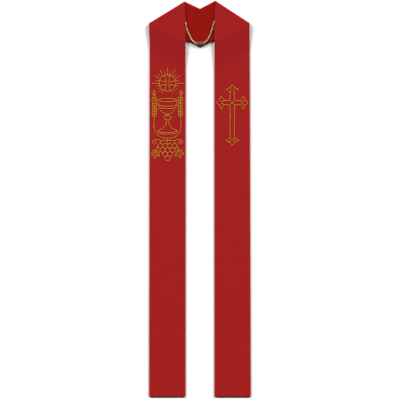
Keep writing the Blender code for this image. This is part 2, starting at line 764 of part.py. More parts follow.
def stitched(name, strokes, centre):
    """All the strokes' ribbons joined into one shape, which lies on the cloth."""
    side = 1 if centre[0] > 0 else -1
    half = Half(side)
    places, ribbons = [], []
    for stroke in strokes:
        pairs = rails(stroke)
        start = len(places)
        places += [p for pair in pairs for p in pair]
        for i in range(len(pairs) if stroke.closed else len(pairs) - 1):
            here, there = start + 2 * i, start + 2 * ((i + 1) % len(pairs))
            ribbons.append((here, here + 1, there + 1, there))
    flat, _, faces, _, _, sources = delaunay_2d_cdt(places, [], ribbons, 1, CLEARANCE * MM)
    faces = [face for face, source in zip(faces, sources) if source]
    shape = bmesh.new()
    corners = []
    for p in flat:
        x, y = p.x + centre[0], p.y + centre[1]
        corners.append(shape.verts.new((x, y, STITCH_Z + half.lift_at(x * side, y))))
    for face in faces:
        shape.faces.new([corners[i] for i in face])
    loose = [v for v in shape.verts if not v.link_faces]
    bmesh.ops.delete(shape, geom=loose, context="VERTS")
    grown = bmesh.ops.extrude_face_region(shape, geom=list(shape.faces), use_keep_orig=True)
    raised = [v for v in grown["geom"] if isinstance(v, bmesh.types.BMVert)]
    bmesh.ops.translate(shape, verts=raised, vec=(0, 0, STITCH_HEIGHT))
    bmesh.ops.recalc_face_normals(shape, faces=shape.faces)
    mesh = bpy.data.meshes.new(name)
    shape.to_mesh(mesh)
    shape.free()
    return new_object(name, mesh, "gold thread")


def embroidery():
    stitched("embroidered_cross", cross(), CROSS_CENTRE)
    stitched("embroidered_cross_knot", cross_knot(), CROSS_CENTRE)
    stitched("embroidered_host", host(), EMBLEM_CENTRE)
    stitched("embroidered_chalice", chalice(), EMBLEM_CENTRE)
    stitched("embroidered_wheat_left", wheat_ear(), EMBLEM_CENTRE)
    stitched("embroidered_wheat_right", flipped(wheat_ear()), EMBLEM_CENTRE)
    stitched("embroidered_vine", vine(), EMBLEM_CENTRE)


def main():
    for old in list(bpy.data.objects):
        bpy.data.objects.remove(old)
    for side in (-1, 1):
        half = Half(side)
        stole_half(half)
        neck_lining(half)
        neck_chain(side)
        chain_ring(side)
    clasp_eye()
    clasp_hook()
    embroidery()


main()
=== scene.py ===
"""Dresses a clerical stole: woven cloth, satin lining, gold line embroidery and a neck chain.

The stole lies flat, face up. +Y points from the hems to the neck and +X to the right. Each piece
has an operator of its own, and main() calls them in order. Sizes are in metres, but for the
drawings of the embroidery, which are in millimetres from their own middle.
"""

import json
from collections import namedtuple
from math import cos, exp, pi, radians, sin

import bmesh
import bpy
from bpy.props import FloatProperty, FloatVectorProperty, PointerProperty
from mathutils import Matrix, Vector, noise

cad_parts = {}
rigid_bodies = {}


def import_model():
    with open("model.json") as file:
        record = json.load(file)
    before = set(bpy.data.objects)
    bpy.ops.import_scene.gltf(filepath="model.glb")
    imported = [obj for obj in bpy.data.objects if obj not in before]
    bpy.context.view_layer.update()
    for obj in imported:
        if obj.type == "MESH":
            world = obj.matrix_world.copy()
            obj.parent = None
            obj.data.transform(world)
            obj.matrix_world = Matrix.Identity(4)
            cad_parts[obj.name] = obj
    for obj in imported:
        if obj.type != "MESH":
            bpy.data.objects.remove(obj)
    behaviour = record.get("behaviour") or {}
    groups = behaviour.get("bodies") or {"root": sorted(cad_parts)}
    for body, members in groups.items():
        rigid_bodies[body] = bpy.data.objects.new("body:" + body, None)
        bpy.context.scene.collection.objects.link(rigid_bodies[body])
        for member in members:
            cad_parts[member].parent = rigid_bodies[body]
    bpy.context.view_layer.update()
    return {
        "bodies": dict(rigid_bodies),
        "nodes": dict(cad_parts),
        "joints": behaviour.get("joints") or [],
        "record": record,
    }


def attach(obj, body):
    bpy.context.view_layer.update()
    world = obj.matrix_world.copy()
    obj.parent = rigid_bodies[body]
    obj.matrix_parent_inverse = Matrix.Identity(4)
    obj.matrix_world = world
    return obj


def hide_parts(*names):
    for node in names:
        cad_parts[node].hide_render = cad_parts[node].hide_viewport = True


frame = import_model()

bl_info = {
    "name": "Clerical Stole",
    "version": (1, 0, 0),
    "blender": (4, 5, 0),
    "location": "View3D > Sidebar > Stole",
    "description": "Builds the cloth, lining, embroidery and neck chain of a flat clerical stole",
    "category": "Object",
}

MM = 0.001
BODY = "root"
SIDES = (-1, 1)  # left and right

# ---------------- the cut, as in the part's solids

LENGTH = 1.4018  # hems to the higher shoulder peak
HEM_Y = -0.7000
LEAN_LENGTH = 0.080  # below the peaks, over which the fronts' inner edges curve apart
FLARE_LENGTH = 0.085  # below the outer corners, over which the outer edges spread or draw in
HEM_CORNER = 0.0045
SEAM_TOP, SEAM_BOTTOM = (0.0, 0.6738), (0.0018, 0.5377)  # ends of the centre-back seam
# (x, y) of a shoulder's peak and outer corner, then x of its front's inner edge, of its outer edge
# carried straight up to the shoulder, and of its outer edge at the hem
Lay = namedtuple("Lay", "peak corner inner outer_top outer_hem")
LAYS = {
    -1: Lay((0.0556, 0.6994), (0.1803, 0.6226), 0.0508, 0.1779, 0.1801),
    1: Lay((0.0553, HEM_Y + LENGTH), (0.1752, 0.6236), 0.0510, 0.1757, 0.1801),
}

WALL = 0.0021
LINING_WALL = 0.0007
CLEARANCE = 0.0003
LINING_INSET = 0.0015
DESCENT_START = 0.006  # past the band's lower edge, where a front starts to come down off it
DESCENT_LENGTH = 0.110
LEVEL_ROW_Y = 0.34  # from here down to the hem the rows run square across

HALF_WALL = WALL / 2
LINING_TOP = WALL + CLEARANCE + LINING_WALL
FRONT_LIFT = LINING_TOP + CLEARANCE
FOLD_RADIUS = (FRONT_LIFT - WALL) / 2 + HALF_WALL
FOLD_Z = FRONT_LIFT / 2 + HALF_WALL
FOLD_PRESS = 0.6  # depth of the pressed roll, as a share of an unpressed one's
FOLD_DEPTH = (FOLD_RADIUS + HALF_WALL) * FOLD_PRESS

# How finely the cloth is divided
FOLD_STEPS = 18
FAN_ROWS = 26
DESCENT_ROWS = 45
TURNING_ROWS = 30
LEVEL_ROWS = 250
BAND_ROWS = 44
COLUMNS = 40
EDGE_STEPS = 8
HEM_ANGLES = (0, 20, 40, 55, 68, 80, 90)
HEM_END_HALF_WALL = 0.0002
CROSSING_ROUNDS = 4  # of closing in on where a slanting row meets an edge

# The chain's middle on each side, as (x, y) from the ring on
CHAIN_ROUTES = {
    -1: ((-0.0493, 0.6182), (-0.0484, 0.6110), (-0.0465, 0.6025), (-0.0436, 0.5937),
         (-0.0396, 0.5842), (-0.0350, 0.5751), (-0.0308, 0.5673), (-0.0255, 0.5600),
         (-0.0200, 0.5550)),
    1: ((0.0491, 0.6229), (0.0466, 0.6154), (0.0445, 0.6081), (0.0420, 0.6000),
        (0.0388, 0.5892), (0.0345, 0.5783), (0.0295, 0.5685), (0.0250, 0.5622),
        (0.0208, 0.5578)),
}
RING_CENTRES = {-1: (-0.0512, 0.6219), 1: (0.0518, 0.6266)}
RING_RADIUS = 0.0029  # to the middle of its wire
RING_WIRE = 0.0006  # radius, as the clasp's wire is given too
RING_Z = FRONT_LIFT + WALL + CLEARANCE + RING_WIRE

# The clasp, an eye and a hook: wire frames with a thin dark plate sunk in each
CLASP_CENTRE = (0.0010, 0.5516)
CLASP_TILT = 2.5  # degrees, right end up
CLASP_REACH = 0.0136
CLASP_HEIGHT = 0.0076
CLASP_CORNER = 0.0015
CLASP_WIRE = 0.0005
CLASP_BAR_HALF_GAP = 0.0003
CLASP_Z = LINING_TOP + CLEARANCE + CLASP_WIRE
PLATE_WALL = 0.0005
TONGUE_SLOT = (0.0021, 0.0016)  # depth from the middle of the bar, half height
LINK_SLOT = (0.0023, 0.0016)
TONGUE_WIDTH = 0.0026
TONGUE_WALL = 0.0005
TONGUE_LAST_ANGLE = 200
TONGUE_BEVEL = 0.0002

CROSS_CENTRE = (0.1142, 0.3402)
EMBLEM_CENTRE = (-0.1150, 0.2970)

Row = namedtuple("Row", "inner outer right_side along half_wall", defaults=(HALF_WALL,))
Stroke = namedtuple("Stroke", "points closed", defaults=(False,))


# ---------------- settings


def colour_of(name, what, default):
    return FloatVectorProperty(
        name=name, description=what, subtype="COLOR", size=3, min=0, max=1, default=default
    )


def size_of(name, what, default):
    return FloatProperty(name=name, description=what, subtype="DISTANCE", default=default)


def angle_of(name, what, degrees):
    return FloatProperty(name=name, description=what, subtype="ANGLE", default=radians(degrees))


class ClothSettings(bpy.types.PropertyGroup):
    face_colour: colour_of("Face Colour", "Colour of the face cloth", (0.333, 0.0075, 0.0075))
    lining_colour: colour_of("Lining Colour", "Colour of the lining", (0.272, 0.0035, 0.0010))
    thread_spacing: size_of("Thread Spacing", "Distance between the weave's yarns", 0.00045)
    hem_turning: size_of("Turning", "Width of the edge that is turned under", 0.0090)
    turning_rise: size_of("Turning Rise", "How far the turned edges stand proud", 0.00012)
    pucker_depth: size_of("Pucker Depth", "Depth of the dimples beside them", 0.00005)


class EmbroiderySettings(bpy.types.PropertyGroup):
    thread_colour: colour_of("Thread Colour", "Colour of the thread", (0.560, 0.212, 0.004))
    line_width: size_of("Line Width", "Width of a line of satin stitch", 0.0018)
    rise: size_of("Rise", "Height of a line of satin stitch over the cloth", 0.0007)
    spacing: size_of("Stitch Spacing", "Distance from one stitch to the next", 0.00044)
    thread_thickness: size_of("Thread Thickness", "Thickness of the thread", 0.00050)


class ChainSettings(bpy.types.PropertyGroup):
    metal_colour: colour_of("Metal Colour", "Colour of the plating", (0.675, 0.535, 0.265))
    link_width: size_of("Link Width", "Outer width of a link", 0.0048)
    link_length: size_of("Link Length", "Outer length of a link", 0.0056)
    wire_thickness: size_of("Link Wire", "Thickness of a link's wire", 0.0010)
    roll: angle_of("Roll", "How far the links roll to one side and the other, in turn", 16)


class StageSettings(bpy.types.PropertyGroup):
    camera_height: size_of("Camera Height", "Height of the camera over the floor", 12.0)
    view_width: size_of("View Width", "Width of floor that the picture takes in", 1.4163)
    view_middle: FloatVectorProperty(
        name="View Middle", description="Point of the floor in the middle of the picture",
        subtype="XYZ", size=2, default=(0.0001, -0.0036),
    )
    sky_strength: FloatProperty(
        name="Sky", description="Strength of the even light from all round", default=0.0328,
    )
    key_strength: FloatProperty(
        name="Key Light", description="Strength of the light beyond the neck", default=0.5371,
    )
    side_strength: FloatProperty(
        name="Side Lights", description="Strength of the light from each side", default=6.2438,
    )
    side_turn: angle_of("Side Turn", "Angle between the key light and each side light", 42)
    light_height: angle_of("Light Height", "Angle of the lights over the floor", 14.8)
    light_size: angle_of("Light Size", "Angle that a light fills, softening its shadows", 13)


# ---------------- small helpers


def lerp(a, b, t):
    return a + (b - a) * t


def shares(steps):
    """Shares of the way from 0 to 1, in even steps."""
    return [i / steps for i in range(steps + 1)]


def smooth_step(low, high, value):
    t = min(1.0, max(0.0, (value - low) / (high - low)))
    return t * t * (3 - 2 * t)


def length_of(line):
    return sum((b - a).length for a, b in zip(line, line[1:]))


def sided(name, side):
    return f"{name}_{'right' if side > 0 else 'left'}"


def link_object(name, data, materials=()):
    for material in materials:
        data.materials.append(material)
    made = bpy.data.objects.new(name, data)
    bpy.context.collection.objects.link(made)
    return made


def mesh_of(name, points, faces, edges=()):
    mesh = bpy.data.meshes.new(name)
    mesh.from_pydata([tuple(p) for p in points], list(edges), faces)
    return mesh


def closed_mesh(name, points, faces):
    """A smooth mesh whose faces point outwards."""
    mesh, shape = mesh_of(name, points, faces), bmesh.new()
    shape.from_mesh(mesh)
    bmesh.ops.recalc_face_normals(shape, faces=shape.faces)
    shape.to_mesh(mesh)
    shape.free()
    mesh.shade_smooth()
    return mesh


def shell(name, rings, closed=False, caps=None):
    """A mesh through rings of points. The last ring meets the first, or both ends have caps."""
    count = len(rings[0])
    last = (len(rings) - 1) * count
    faces = []
    for here in range(0, last + closed, count):
        there = (here + count) % (last + count)
        for k in range(count):
            after = (k + 1) % count
            faces.append((here + k, here + after, there + after, there + k))
    if not closed:
        faces += caps or [tuple(range(count)), tuple(range(last, last + count))]
    return closed_mesh(name, [point for ring in rings for point in ring], faces)


def unwrap(mesh, places):
    """Gives each point's place on the flat cloth, (across, along), to the weave."""
    unwrapped = mesh.uv_layers.new(name="cloth")
    for loop in mesh.loops:
        unwrapped.data[loop.index].uv = places[loop.vertex_index % len(places)]


def dressed(piece, slot, *nodes):
    """Rides a finished piece on the stole, in place of its plain solids."""
    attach(piece, BODY)
    if nodes:
        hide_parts(*nodes)
    return piece


# ---------------- node trees


def feed(node, inputs):
    """Sets a node's inputs, by name or in order. Each is a value, or an Output to link from."""
    for key, value in inputs.items() if isinstance(inputs, dict) else enumerate(inputs):
        if isinstance(value, Output):
            value.tree.links.new(value.socket, node.inputs[key])
        else:
            node.inputs[key].default_value = value


def add(tree, kind, inputs=(), out=0, **settings):
    """One output of a new node with these inputs and settings."""
    node = tree.nodes.new(kind)
    for name, value in settings.items():
        setattr(node, name, value)
    feed(node, inputs)
    return Output(tree, node.outputs[out])


def maths(operation, backwards=False):
    """A way to work out a number from others with a Math node."""
    def work_out(*numbers):
        tree = next(number.tree for number in numbers if isinstance(number, Output))
        ordered = numbers[::-1] if backwards else numbers
        return add(tree, "ShaderNodeMath", ordered, operation=operation)
    return work_out


class Output:
    """A node's output. A sum written with it adds its nodes to the tree."""

    def __init__(self, tree, socket):
        self.tree, self.socket = tree, socket

    __add__, __mul__, __mod__ = maths("ADD"), maths("MULTIPLY"), maths("MODULO")
    __sub__, __rsub__ = maths("SUBTRACT"), maths("SUBTRACT", backwards=True)
    __rtruediv__ = maths("DIVIDE", backwards=True)
    __gt__, __abs__ = maths("GREATER_THAN"), maths("ABSOLUTE")
    sine, equals = maths("SINE"), maths("COMPARE")


def node_group(kind, name, result, *inputs):
    """Turns a function into one that gives a group, which is built by it once.

    The group has (name, socket type, default) inputs. The function takes the group and its inputs
    by name, and returns what feeds the result.
    """
    def wrap(build):
        def get():
            if name in bpy.data.node_groups:
                return bpy.data.node_groups[name]
            tree = bpy.data.node_groups.new(name, kind)
            for label, socket, *default in inputs:
                made = tree.interface.new_socket(
                    name=label, in_out="INPUT", socket_type="NodeSocket" + socket
                )
                for value in default:
                    made.default_value = value
            tree.interface.new_socket(
                name=result[0], in_out="OUTPUT", socket_type="NodeSocket" + result[1]
            )
            entry, end = tree.nodes.new("NodeGroupInput"), tree.nodes.new("NodeGroupOutput")
            given = {socket.name: Output(tree, socket) for socket in entry.outputs}
            feed(end, [build(tree, given)])
            return tree
        return get
    return wrap


# ---------------- shader groups and materials

TWILL_SLANT = 0.6
# The weave paints shade into the cloth's colour: darker in the hollows and lighter on the yarns'
# tops, round this mean
WEAVE_MEAN = 0.64  # of its height, where the cloth has its own colour


@node_group("ShaderNodeTree", "Weave", ("Height", "Float"), ("Position", "Vector"),
            ("Spacing", "Float", 0.00045), ("Twill", "Float", 0.0))
def weave(group, given):
    """A plain weave or a twill, from a surface position in metres."""
    x, y = (add(group, "ShaderNodeSeparateXYZ", [given["Position"]], axis) for axis in "XY")
    turn = pi / given["Spacing"]
    across, along = (x * turn).sine(), (y * turn).sine()
    over = across * along > 0.0
    plain = abs(across) * over + abs(along) * (1.0 - over)
    twill = abs(((x + y * TWILL_SLANT) * turn).sine())
    return add(group, "ShaderNodeMix", {0: given["Twill"], 2: plain, 3: twill})


@node_group("ShaderNodeTree", "Mottle", ("Factor", "Float"), ("Position", "Vector"),
            ("Scale", "Float", 20.0), ("Amount", "Float", 0.04))
def mottle(group, given):
    """Soft and fine unevenness, as a factor round 1, from any position."""
    soft = add(group, "ShaderNodeTexNoise", {
        "Vector": given["Position"], "Scale": given["Scale"], "Detail": 3.0, "Roughness": 0.55,
    })
    return (soft - 0.5) * given["Amount"] * 2.0 + 1.0


def mottled(tree, position, scale, amount):
    inputs = {"Position": position, "Scale": scale, "Amount": amount}
    return add(tree, "ShaderNodeGroup", inputs, node_tree=mottle())


def tinted(tree, colour, factor):
    """The colour times a factor that changes over the surface."""
    inputs = {0: tuple(colour), "Scale": factor}
    return add(tree, "ShaderNodeVectorMath", inputs, operation="SCALE")


def bumped(tree, height, strength, depth):
    inputs = {"Strength": strength, "Distance": depth, "Height": height}
    return add(tree, "ShaderNodeBump", inputs)


def material(name):
    """Turns a function into one that gives a material, which is built by it once.

    The function takes the material's tree, and returns its shader's inputs.
    """
    def wrap(shading):
        def get():
            if name not in bpy.data.materials:
                made = bpy.data.materials.new(name)
                made.use_nodes = True
                feed(made.node_tree.nodes["Principled BSDF"], shading(made.node_tree))
            return bpy.data.materials[name]
        return get
    return wrap


def woven(tree, colour, spacing, twill, roughness, shade, relief):
    """Cloth. shade is how far the painted shade darkens the hollows between yarns and lightens
    their tops, and relief their depth.
    """
    position = add(tree, "ShaderNodeUVMap", uv_map="cloth")
    inputs = {"Position": position, "Spacing": spacing, "Twill": twill}
    height = add(tree, "ShaderNodeGroup", inputs, node_tree=weave())
    clouds = mottled(tree, position, scale=14.0, amount=0.02)
    slubs = mottled(tree, position, scale=900.0, amount=0.03)
    # Painted shade: the colour darkens in the hollows between yarns and lightens on their tops, by
    # the weave's height
    yarns = height * shade + (1 - WEAVE_MEAN * shade)
    return {
        "Base Color": tinted(tree, colour, clouds * slubs * yarns),
        "Roughness": slubs * roughness,
        "Normal": bumped(tree, height, strength=0.6, depth=relief),
        "Specular IOR Level": 0.12,
        "Sheen Weight": 0.03,
        "Sheen Roughness": 0.4,
    }


@material("face cloth")
def face_cloth(tree):
    cloth = bpy.context.scene.stole_cloth
    return woven(
        tree, cloth.face_colour, cloth.thread_spacing, twill=0.0, roughness=0.78, shade=0.10,
        relief=0.00005,
    )


@material("lining satin")
def lining_cloth(tree):
    return woven(
        tree, bpy.context.scene.stole_cloth.lining_colour, spacing=0.00030, twill=1.0,
        roughness=0.50, shade=0.06, relief=0.00002,
    )


def threaded(tree, colour, roughness):
    """Twisted thread, whose stitches differ a little from one to the next."""
    position = add(tree, "ShaderNodeTexCoord", out="Object")
    tone = add(tree, "ShaderNodeAttribute", out="Fac", attribute_name="tone")
    fine = mottled(tree, position, scale=1500.0, amount=0.10)
    wave = {"Vector": position, "Scale": 900.0, "Distortion": 2.0}
    twist = add(tree, "ShaderNodeTexWave", wave, out=1, bands_direction="DIAGONAL")
    return {
        "Base Color": tinted(tree, colour, fine * (tone * 0.22 + 0.89)),
        "Roughness": roughness,
        "Normal": bumped(tree, twist, strength=0.25, depth=0.00004),
        "Specular IOR Level": 0.25,
        "Sheen Weight": 0.04,
    }


@material("gold thread")
def gold_thread(tree):
    colour = bpy.context.scene.stole_embroidery.thread_colour
    return threaded(tree, colour, roughness=0.42)


@material("red thread")
def red_thread(tree):
    return threaded(tree, bpy.context.scene.stole_cloth.face_colour, roughness=0.60)


@material("pale gold plating")
def plated_metal(tree):
    """Polished plating with fine scuffs and a little tarnish."""
    position = add(tree, "ShaderNodeTexCoord", out="Object")
    tarnish = mottled(tree, position, scale=260.0, amount=0.10)
    scuffs = mottled(tree, position, scale=2400.0, amount=0.25)
    return {
        "Base Color": tinted(tree, bpy.context.scene.stole_chain.metal_colour, tarnish),
        "Metallic": 0.55,
        "Roughness": scuffs * 0.36,
        "Normal": bumped(tree, scuffs, strength=0.15, depth=0.00003),
    }


@material("darkened metal")
def dark_plate_metal(tree):
    """A near-black metal for the plates sunk in the clasp's frames, with worn specks."""
    position = add(tree, "ShaderNodeTexCoord", out="Object")
    wear = mottled(tree, position, scale=700.0, amount=0.35)
    colour = tinted(tree, (0.020, 0.034, 0.008), wear)
    return {"Base Color": colour, "Metallic": 0.2, "Roughness": wear * 0.5}


# ---------------- geometry trees


def vector(tree, x=0.0, y=0.0, z=0.0):
    return add(tree, "ShaderNodeCombineXYZ", (x, y, z))


def random_value(tree, low, high, seed):
    """A number for each item."""
    inputs = {2: low, 3: high, "Seed": seed}
    return add(tree, "FunctionNodeRandomValue", inputs, out=1, data_type="FLOAT")


def circle(tree, sides, radius):
    inputs = {"Resolution": sides, "Radius": radius}
    return add(tree, "GeometryNodeCurvePrimitiveCircle", inputs)


def wire(tree, path, sides, thickness, caps=False):
    section = circle(tree, sides, thickness * 0.5)
    inputs = {"Curve": path, "Profile Curve": section, "Fill Caps": caps}
    return add(tree, "GeometryNodeCurveToMesh", inputs)


def laid_along(tree, line, spacing, shape, axis, pivot, about, turn, scale=(1, 1, 1)):
    """Copies of a shape at a spacing along a line, headed along it and then turned."""
    curve = add(tree, "GeometryNodeMeshToCurve", [line])
    inputs = {"Curve": curve, "Length": spacing}
    points = add(tree, "GeometryNodeResampleCurve", inputs, mode="LENGTH")
    heading = {"Vector": add(tree, "GeometryNodeInputTangent")}
    facing = add(
        tree, "FunctionNodeAlignRotationToVector", heading, axis=axis, pivot_axis=pivot
    )
    turned = add(tree, "FunctionNodeAxisAngleToRotation", {"Axis": about, "Angle": turn})
    inputs = {"Rotation": facing, "Rotate By": turned}
    facing = add(tree, "FunctionNodeRotateRotation", inputs, rotation_space="LOCAL")
    inputs = {"Points": points, "Instance": shape, "Rotation": facing, "Scale": scale}
    return add(tree, "GeometryNodeInstanceOnPoints", inputs)


def made_real(tree, instances, finish):
    real = add(tree, "GeometryNodeRealizeInstances", [instances])
    smooth = add(tree, "GeometryNodeSetShadeSmooth", [real])
    return add(tree, "GeometryNodeSetMaterial", {"Geometry": smooth, "Material": finish})


@node_group("GeometryNodeTree", "Stitches", ("Geometry", "Geometry"), ("Geometry", "Geometry"),
            ("Spacing", "Float", 0.00044), ("Width", "Float", 0.0018), ("Rise", "Float", 0.0007),
            ("Thickness", "Float", 0.0005), ("Slant", "Float", 0.22), ("Seed", "Int", 1),
            ("Material", "Material"))
def stitches(tree, given):
    """Arched stitches across a line, side by side: satin stitch, and spaced out, slip stitch."""
    half = given["Width"] * 0.5
    arch = add(tree, "GeometryNodeCurveQuadraticBezier", {
        "Resolution": 4, "Start": vector(tree, x=half * -1.0),
        "Middle": vector(tree, z=given["Rise"] * 2.0), "End": vector(tree, x=half),
    })
    stitch = wire(tree, arch, 4, given["Thickness"], caps=True)
    turn = given["Slant"] + random_value(tree, -0.07, 0.07, given["Seed"] + 1.0)
    length = random_value(tree, 0.93, 1.07, given["Seed"] + 2.0)
    height = random_value(tree, 0.90, 1.08, given["Seed"] + 3.0)
    laid = laid_along(
        tree, given["Geometry"], given["Spacing"], stitch, axis="Y", pivot="Z", about=(0, 0, 1),
        turn=turn, scale=vector(tree, length, 1.0, height),
    )
    tone = random_value(tree, 0.0, 1.0, given["Seed"] + 4.0)
    inputs = {"Geometry": laid, "Name": "tone", "Value": tone}
    toned = add(
        tree, "GeometryNodeStoreNamedAttribute", inputs, data_type="FLOAT", domain="INSTANCE"
    )
    return made_real(tree, toned, given["Material"])


@node_group("GeometryNodeTree", "Chain Links", ("Geometry", "Geometry"),
            ("Geometry", "Geometry"), ("Pitch", "Float", 0.0034), ("Length", "Float", 0.0056),
            ("Width", "Float", 0.0048), ("Wire", "Float", 0.0010), ("Roll", "Float", 0.28),
            ("First Roll", "Float", 1.85), ("Seed", "Int", 1), ("Material", "Material"))
def chain_links(tree, given):
    """Oval links along a line, rolled to one side and the other in turn, the first on edge."""
    length, width = given["Length"] - given["Wire"], given["Width"] - given["Wire"]
    oval = add(tree, "GeometryNodeTransform", {
        "Geometry": circle(tree, 24, 0.5), "Scale": vector(tree, length, width, 1.0),
    })
    link = wire(tree, oval, 8, given["Wire"])
    index = add(tree, "GeometryNodeInputIndex")
    roll = (index % 2.0 * 2.0 - 1.0) * given["Roll"] + index.equals(0.0) * given["First Roll"]
    links = laid_along(
        tree, given["Geometry"], given["Pitch"], link, axis="X", pivot="AUTO", about=(1, 0, 0),
        turn=roll + random_value(tree, -0.10, 0.10, given["Seed"] + 1.0),
    )
    return made_real(tree, links, given["Material"])


def grown(name, mesh, tree, inputs):
    """An object whose mesh is what the tree makes of this one, with the tree's inputs by name."""
    made = link_object(name, mesh)
    modifier = made.modifiers.new(tree.name, "NODES")
    modifier.node_group = tree
    for item in tree.interface.items_tree:
        if item.item_type == "SOCKET" and item.in_out == "INPUT" and item.name in inputs:
            modifier[item.identifier] = inputs[item.name]
    now = bpy.context.evaluated_depsgraph_get()
    result = bpy.data.meshes.new_from_object(made.evaluated_get(now), depsgraph=now)
    made.modifiers.remove(modifier)
    made.data = result
    result.name = name
    return made


# ---------------- one half, seen from above


class Half:
    """The lines that one half is drawn from, and its rows from the hem to the seam."""

    def __init__(self, side):
        self.lay = LAYS[side]
        self.peak = Vector((*self.lay.peak, 0))
        fold = Vector((*self.lay.corner, 0)) - self.peak
        self.fold_width = fold.length
        self.fold_along = fold.normalized()
        self.fold_out = Vector((-self.fold_along.y, self.fold_along.x, 0))
        # The strip's edges cross the roll at a slant, and shift along it by this much each side
        # of its middle
        self.edge_shift = self.fold_out.x / self.fold_out.y * pi * FOLD_RADIUS / 2
        self.inner_top, self.outer_top = self.fold_points(self.edge_shift)
        # The band's edges, each from the roll to the seam
        seam = [Vector((x * side, y, 0)) for x, y in (SEAM_TOP, SEAM_BOTTOM)]
        self.upper, self.lower = zip(self.fold_points(-self.edge_shift), seam)

    def fold_points(self, shift):
        """The strip's inner and outer edge on the roll's axis, shifted this far along it."""
        start = self.peak
        return [
            start + self.fold_along * (along + shift) - self.fold_out * FOLD_DEPTH
            for along in (0, self.fold_width)
        ]

    def inner_edge(self, y):
        """x of the front's edge at the neck opening, at this y."""
        lean_from = self.peak.y - LEAN_LENGTH
        t = max(0.0, (y - lean_from) / (self.inner_top.y - lean_from))
        return lerp(self.lay.inner, self.inner_top.x, t**2)

    def outer_edge(self, y):
        """x of the front's outer edge, at this y."""
        down = (self.outer_top.y - y) / (self.outer_top.y - HEM_Y)
        flare = 1 - smooth_step(0, FLARE_LENGTH, self.outer_top.y - y)
        spread = (self.outer_top.x - self.lay.outer_top) * flare
        return lerp(self.lay.outer_top, self.lay.outer_hem, down) + spread

    def band_lower_y(self, x):
        """y of the band's lower edge under the front, at this x."""
        start, end = self.lower
        return lerp(end.y, start.y, (x - end.x) / (start.x - end.x))

    def crossings(self, below_band):
        """y where a line this far below the band's lower edge meets the front's two edges."""
        ys = []
        for edge in (self.inner_edge, self.outer_edge):
            y = self.band_lower_y(self.lay.inner) - below_band
            for _ in range(CROSSING_ROUNDS):
                y = self.band_lower_y(edge(y)) - below_band
            ys.append(y)
        return ys

    def lift(self, t):
        """How high the underside of a front is, this share of the way down its descent."""
        t = min(1.0, max(0.0, t))
        return FRONT_LIFT * (1 - t) ** 2 * (1 + t)

    def lift_at(self, x, y):
        """How high the underside of a front is at a point."""
        return self.lift((self.band_lower_y(x) - y - DESCENT_START) / DESCENT_LENGTH)

    def front_row(self, inner_y, outer_y, underside, inset=0.0, half_wall=HALF_WALL):
        z = underside + HALF_WALL
        inner = Vector((self.inner_edge(inner_y) + inset, inner_y, z))
        outer = Vector((self.outer_edge(outer_y) - inset, outer_y, z))
        return Row(inner, outer, Vector((0, 0, 1)), (inner_y + outer_y) / 2 - HEM_Y, half_wall)

    def hem_row(self, angle):
        """A row of the rounded hem, at this angle round its corner."""
        y = HEM_Y + HEM_CORNER * (1 - sin(radians(angle)))
        inset = HEM_CORNER * (1 - cos(radians(angle)))
        short = max(0.0, HALF_WALL - (y - HEM_Y))
        half_wall = max(HEM_END_HALF_WALL, (HALF_WALL**2 - short**2) ** 0.5)
        return self.front_row(y, y, 0, inset, half_wall)

    def front_rows(self):
        rows = [self.hem_row(angle) for angle in reversed(HEM_ANGLES)]
        for t in shares(LEVEL_ROWS)[1:]:
            y = lerp(HEM_Y + HEM_CORNER, LEVEL_ROW_Y, t)
            rows.append(self.front_row(y, y, 0))
        bottom = DESCENT_START + DESCENT_LENGTH
        ends = self.crossings(bottom)
        for t in shares(TURNING_ROWS + 1)[1:-1]:
            rows.append(self.front_row(*[lerp(LEVEL_ROW_Y, y, t) for y in ends], 0))
        for t in shares(DESCENT_ROWS):
            ys = self.crossings(lerp(bottom, DESCENT_START, t))
            rows.append(self.front_row(*ys, self.lift(1 - t)))
        last = rows[-1]
        edges = [(last.inner.y, self.inner_top.y), (last.outer.y, self.outer_top.y)]
        for t in shares(FAN_ROWS + 1)[1:-1]:
            rows.append(self.front_row(*[lerp(*edge, t) for edge in edges], FRONT_LIFT))
        return rows

    def fold_rows(self, along):
        """The roll at the shoulder, from the front round to the band."""
        rows = []
        for t in shares(FOLD_STEPS):
            up = Vector((0, 0, cos(pi * t)))
            right_side = self.fold_out * sin(pi * t) * FOLD_PRESS + up
            middle = right_side * FOLD_RADIUS + Vector((0, 0, FOLD_Z))
            ends = self.fold_points(lerp(self.edge_shift, -self.edge_shift, t))
            inner, outer = (end + middle for end in ends)
            rows.append(Row(inner, outer, right_side, along + pi * FOLD_RADIUS * t))
        return rows

    def band_rows(self, along):
        z = Vector((0, 0, HALF_WALL))
        length = (self.lower[1] - self.lower[0]).length
        return [
            Row(lerp(*self.upper, t) + z, lerp(*self.lower, t) + z, Vector((0, 0, -1)),
                along + length * t)
            for t in shares(BAND_ROWS)[1:]
        ]

    def rows(self):
        rows = self.front_rows()
        rows += self.fold_rows((self.inner_top.y + self.outer_top.y) / 2 - HEM_Y)
        return rows + self.band_rows(rows[-1].along)

    def band_line(self, start, end, inset):
        """A band edge moved this far in from it, out to just short of the roll.

        Gives its end at the seam, then its end at the roll.
        """
        way = (end - start).normalized()
        aside = Vector((-way.y, way.x, 0))  # towards the band's lower edge
        short = way * (CLEARANCE + HALF_WALL) / self.fold_along.x
        near_roll = start + aside * inset + short
        return near_roll + way * ((near_roll.x - end.x) / -way.x), near_roll


# ---------------- the cloth

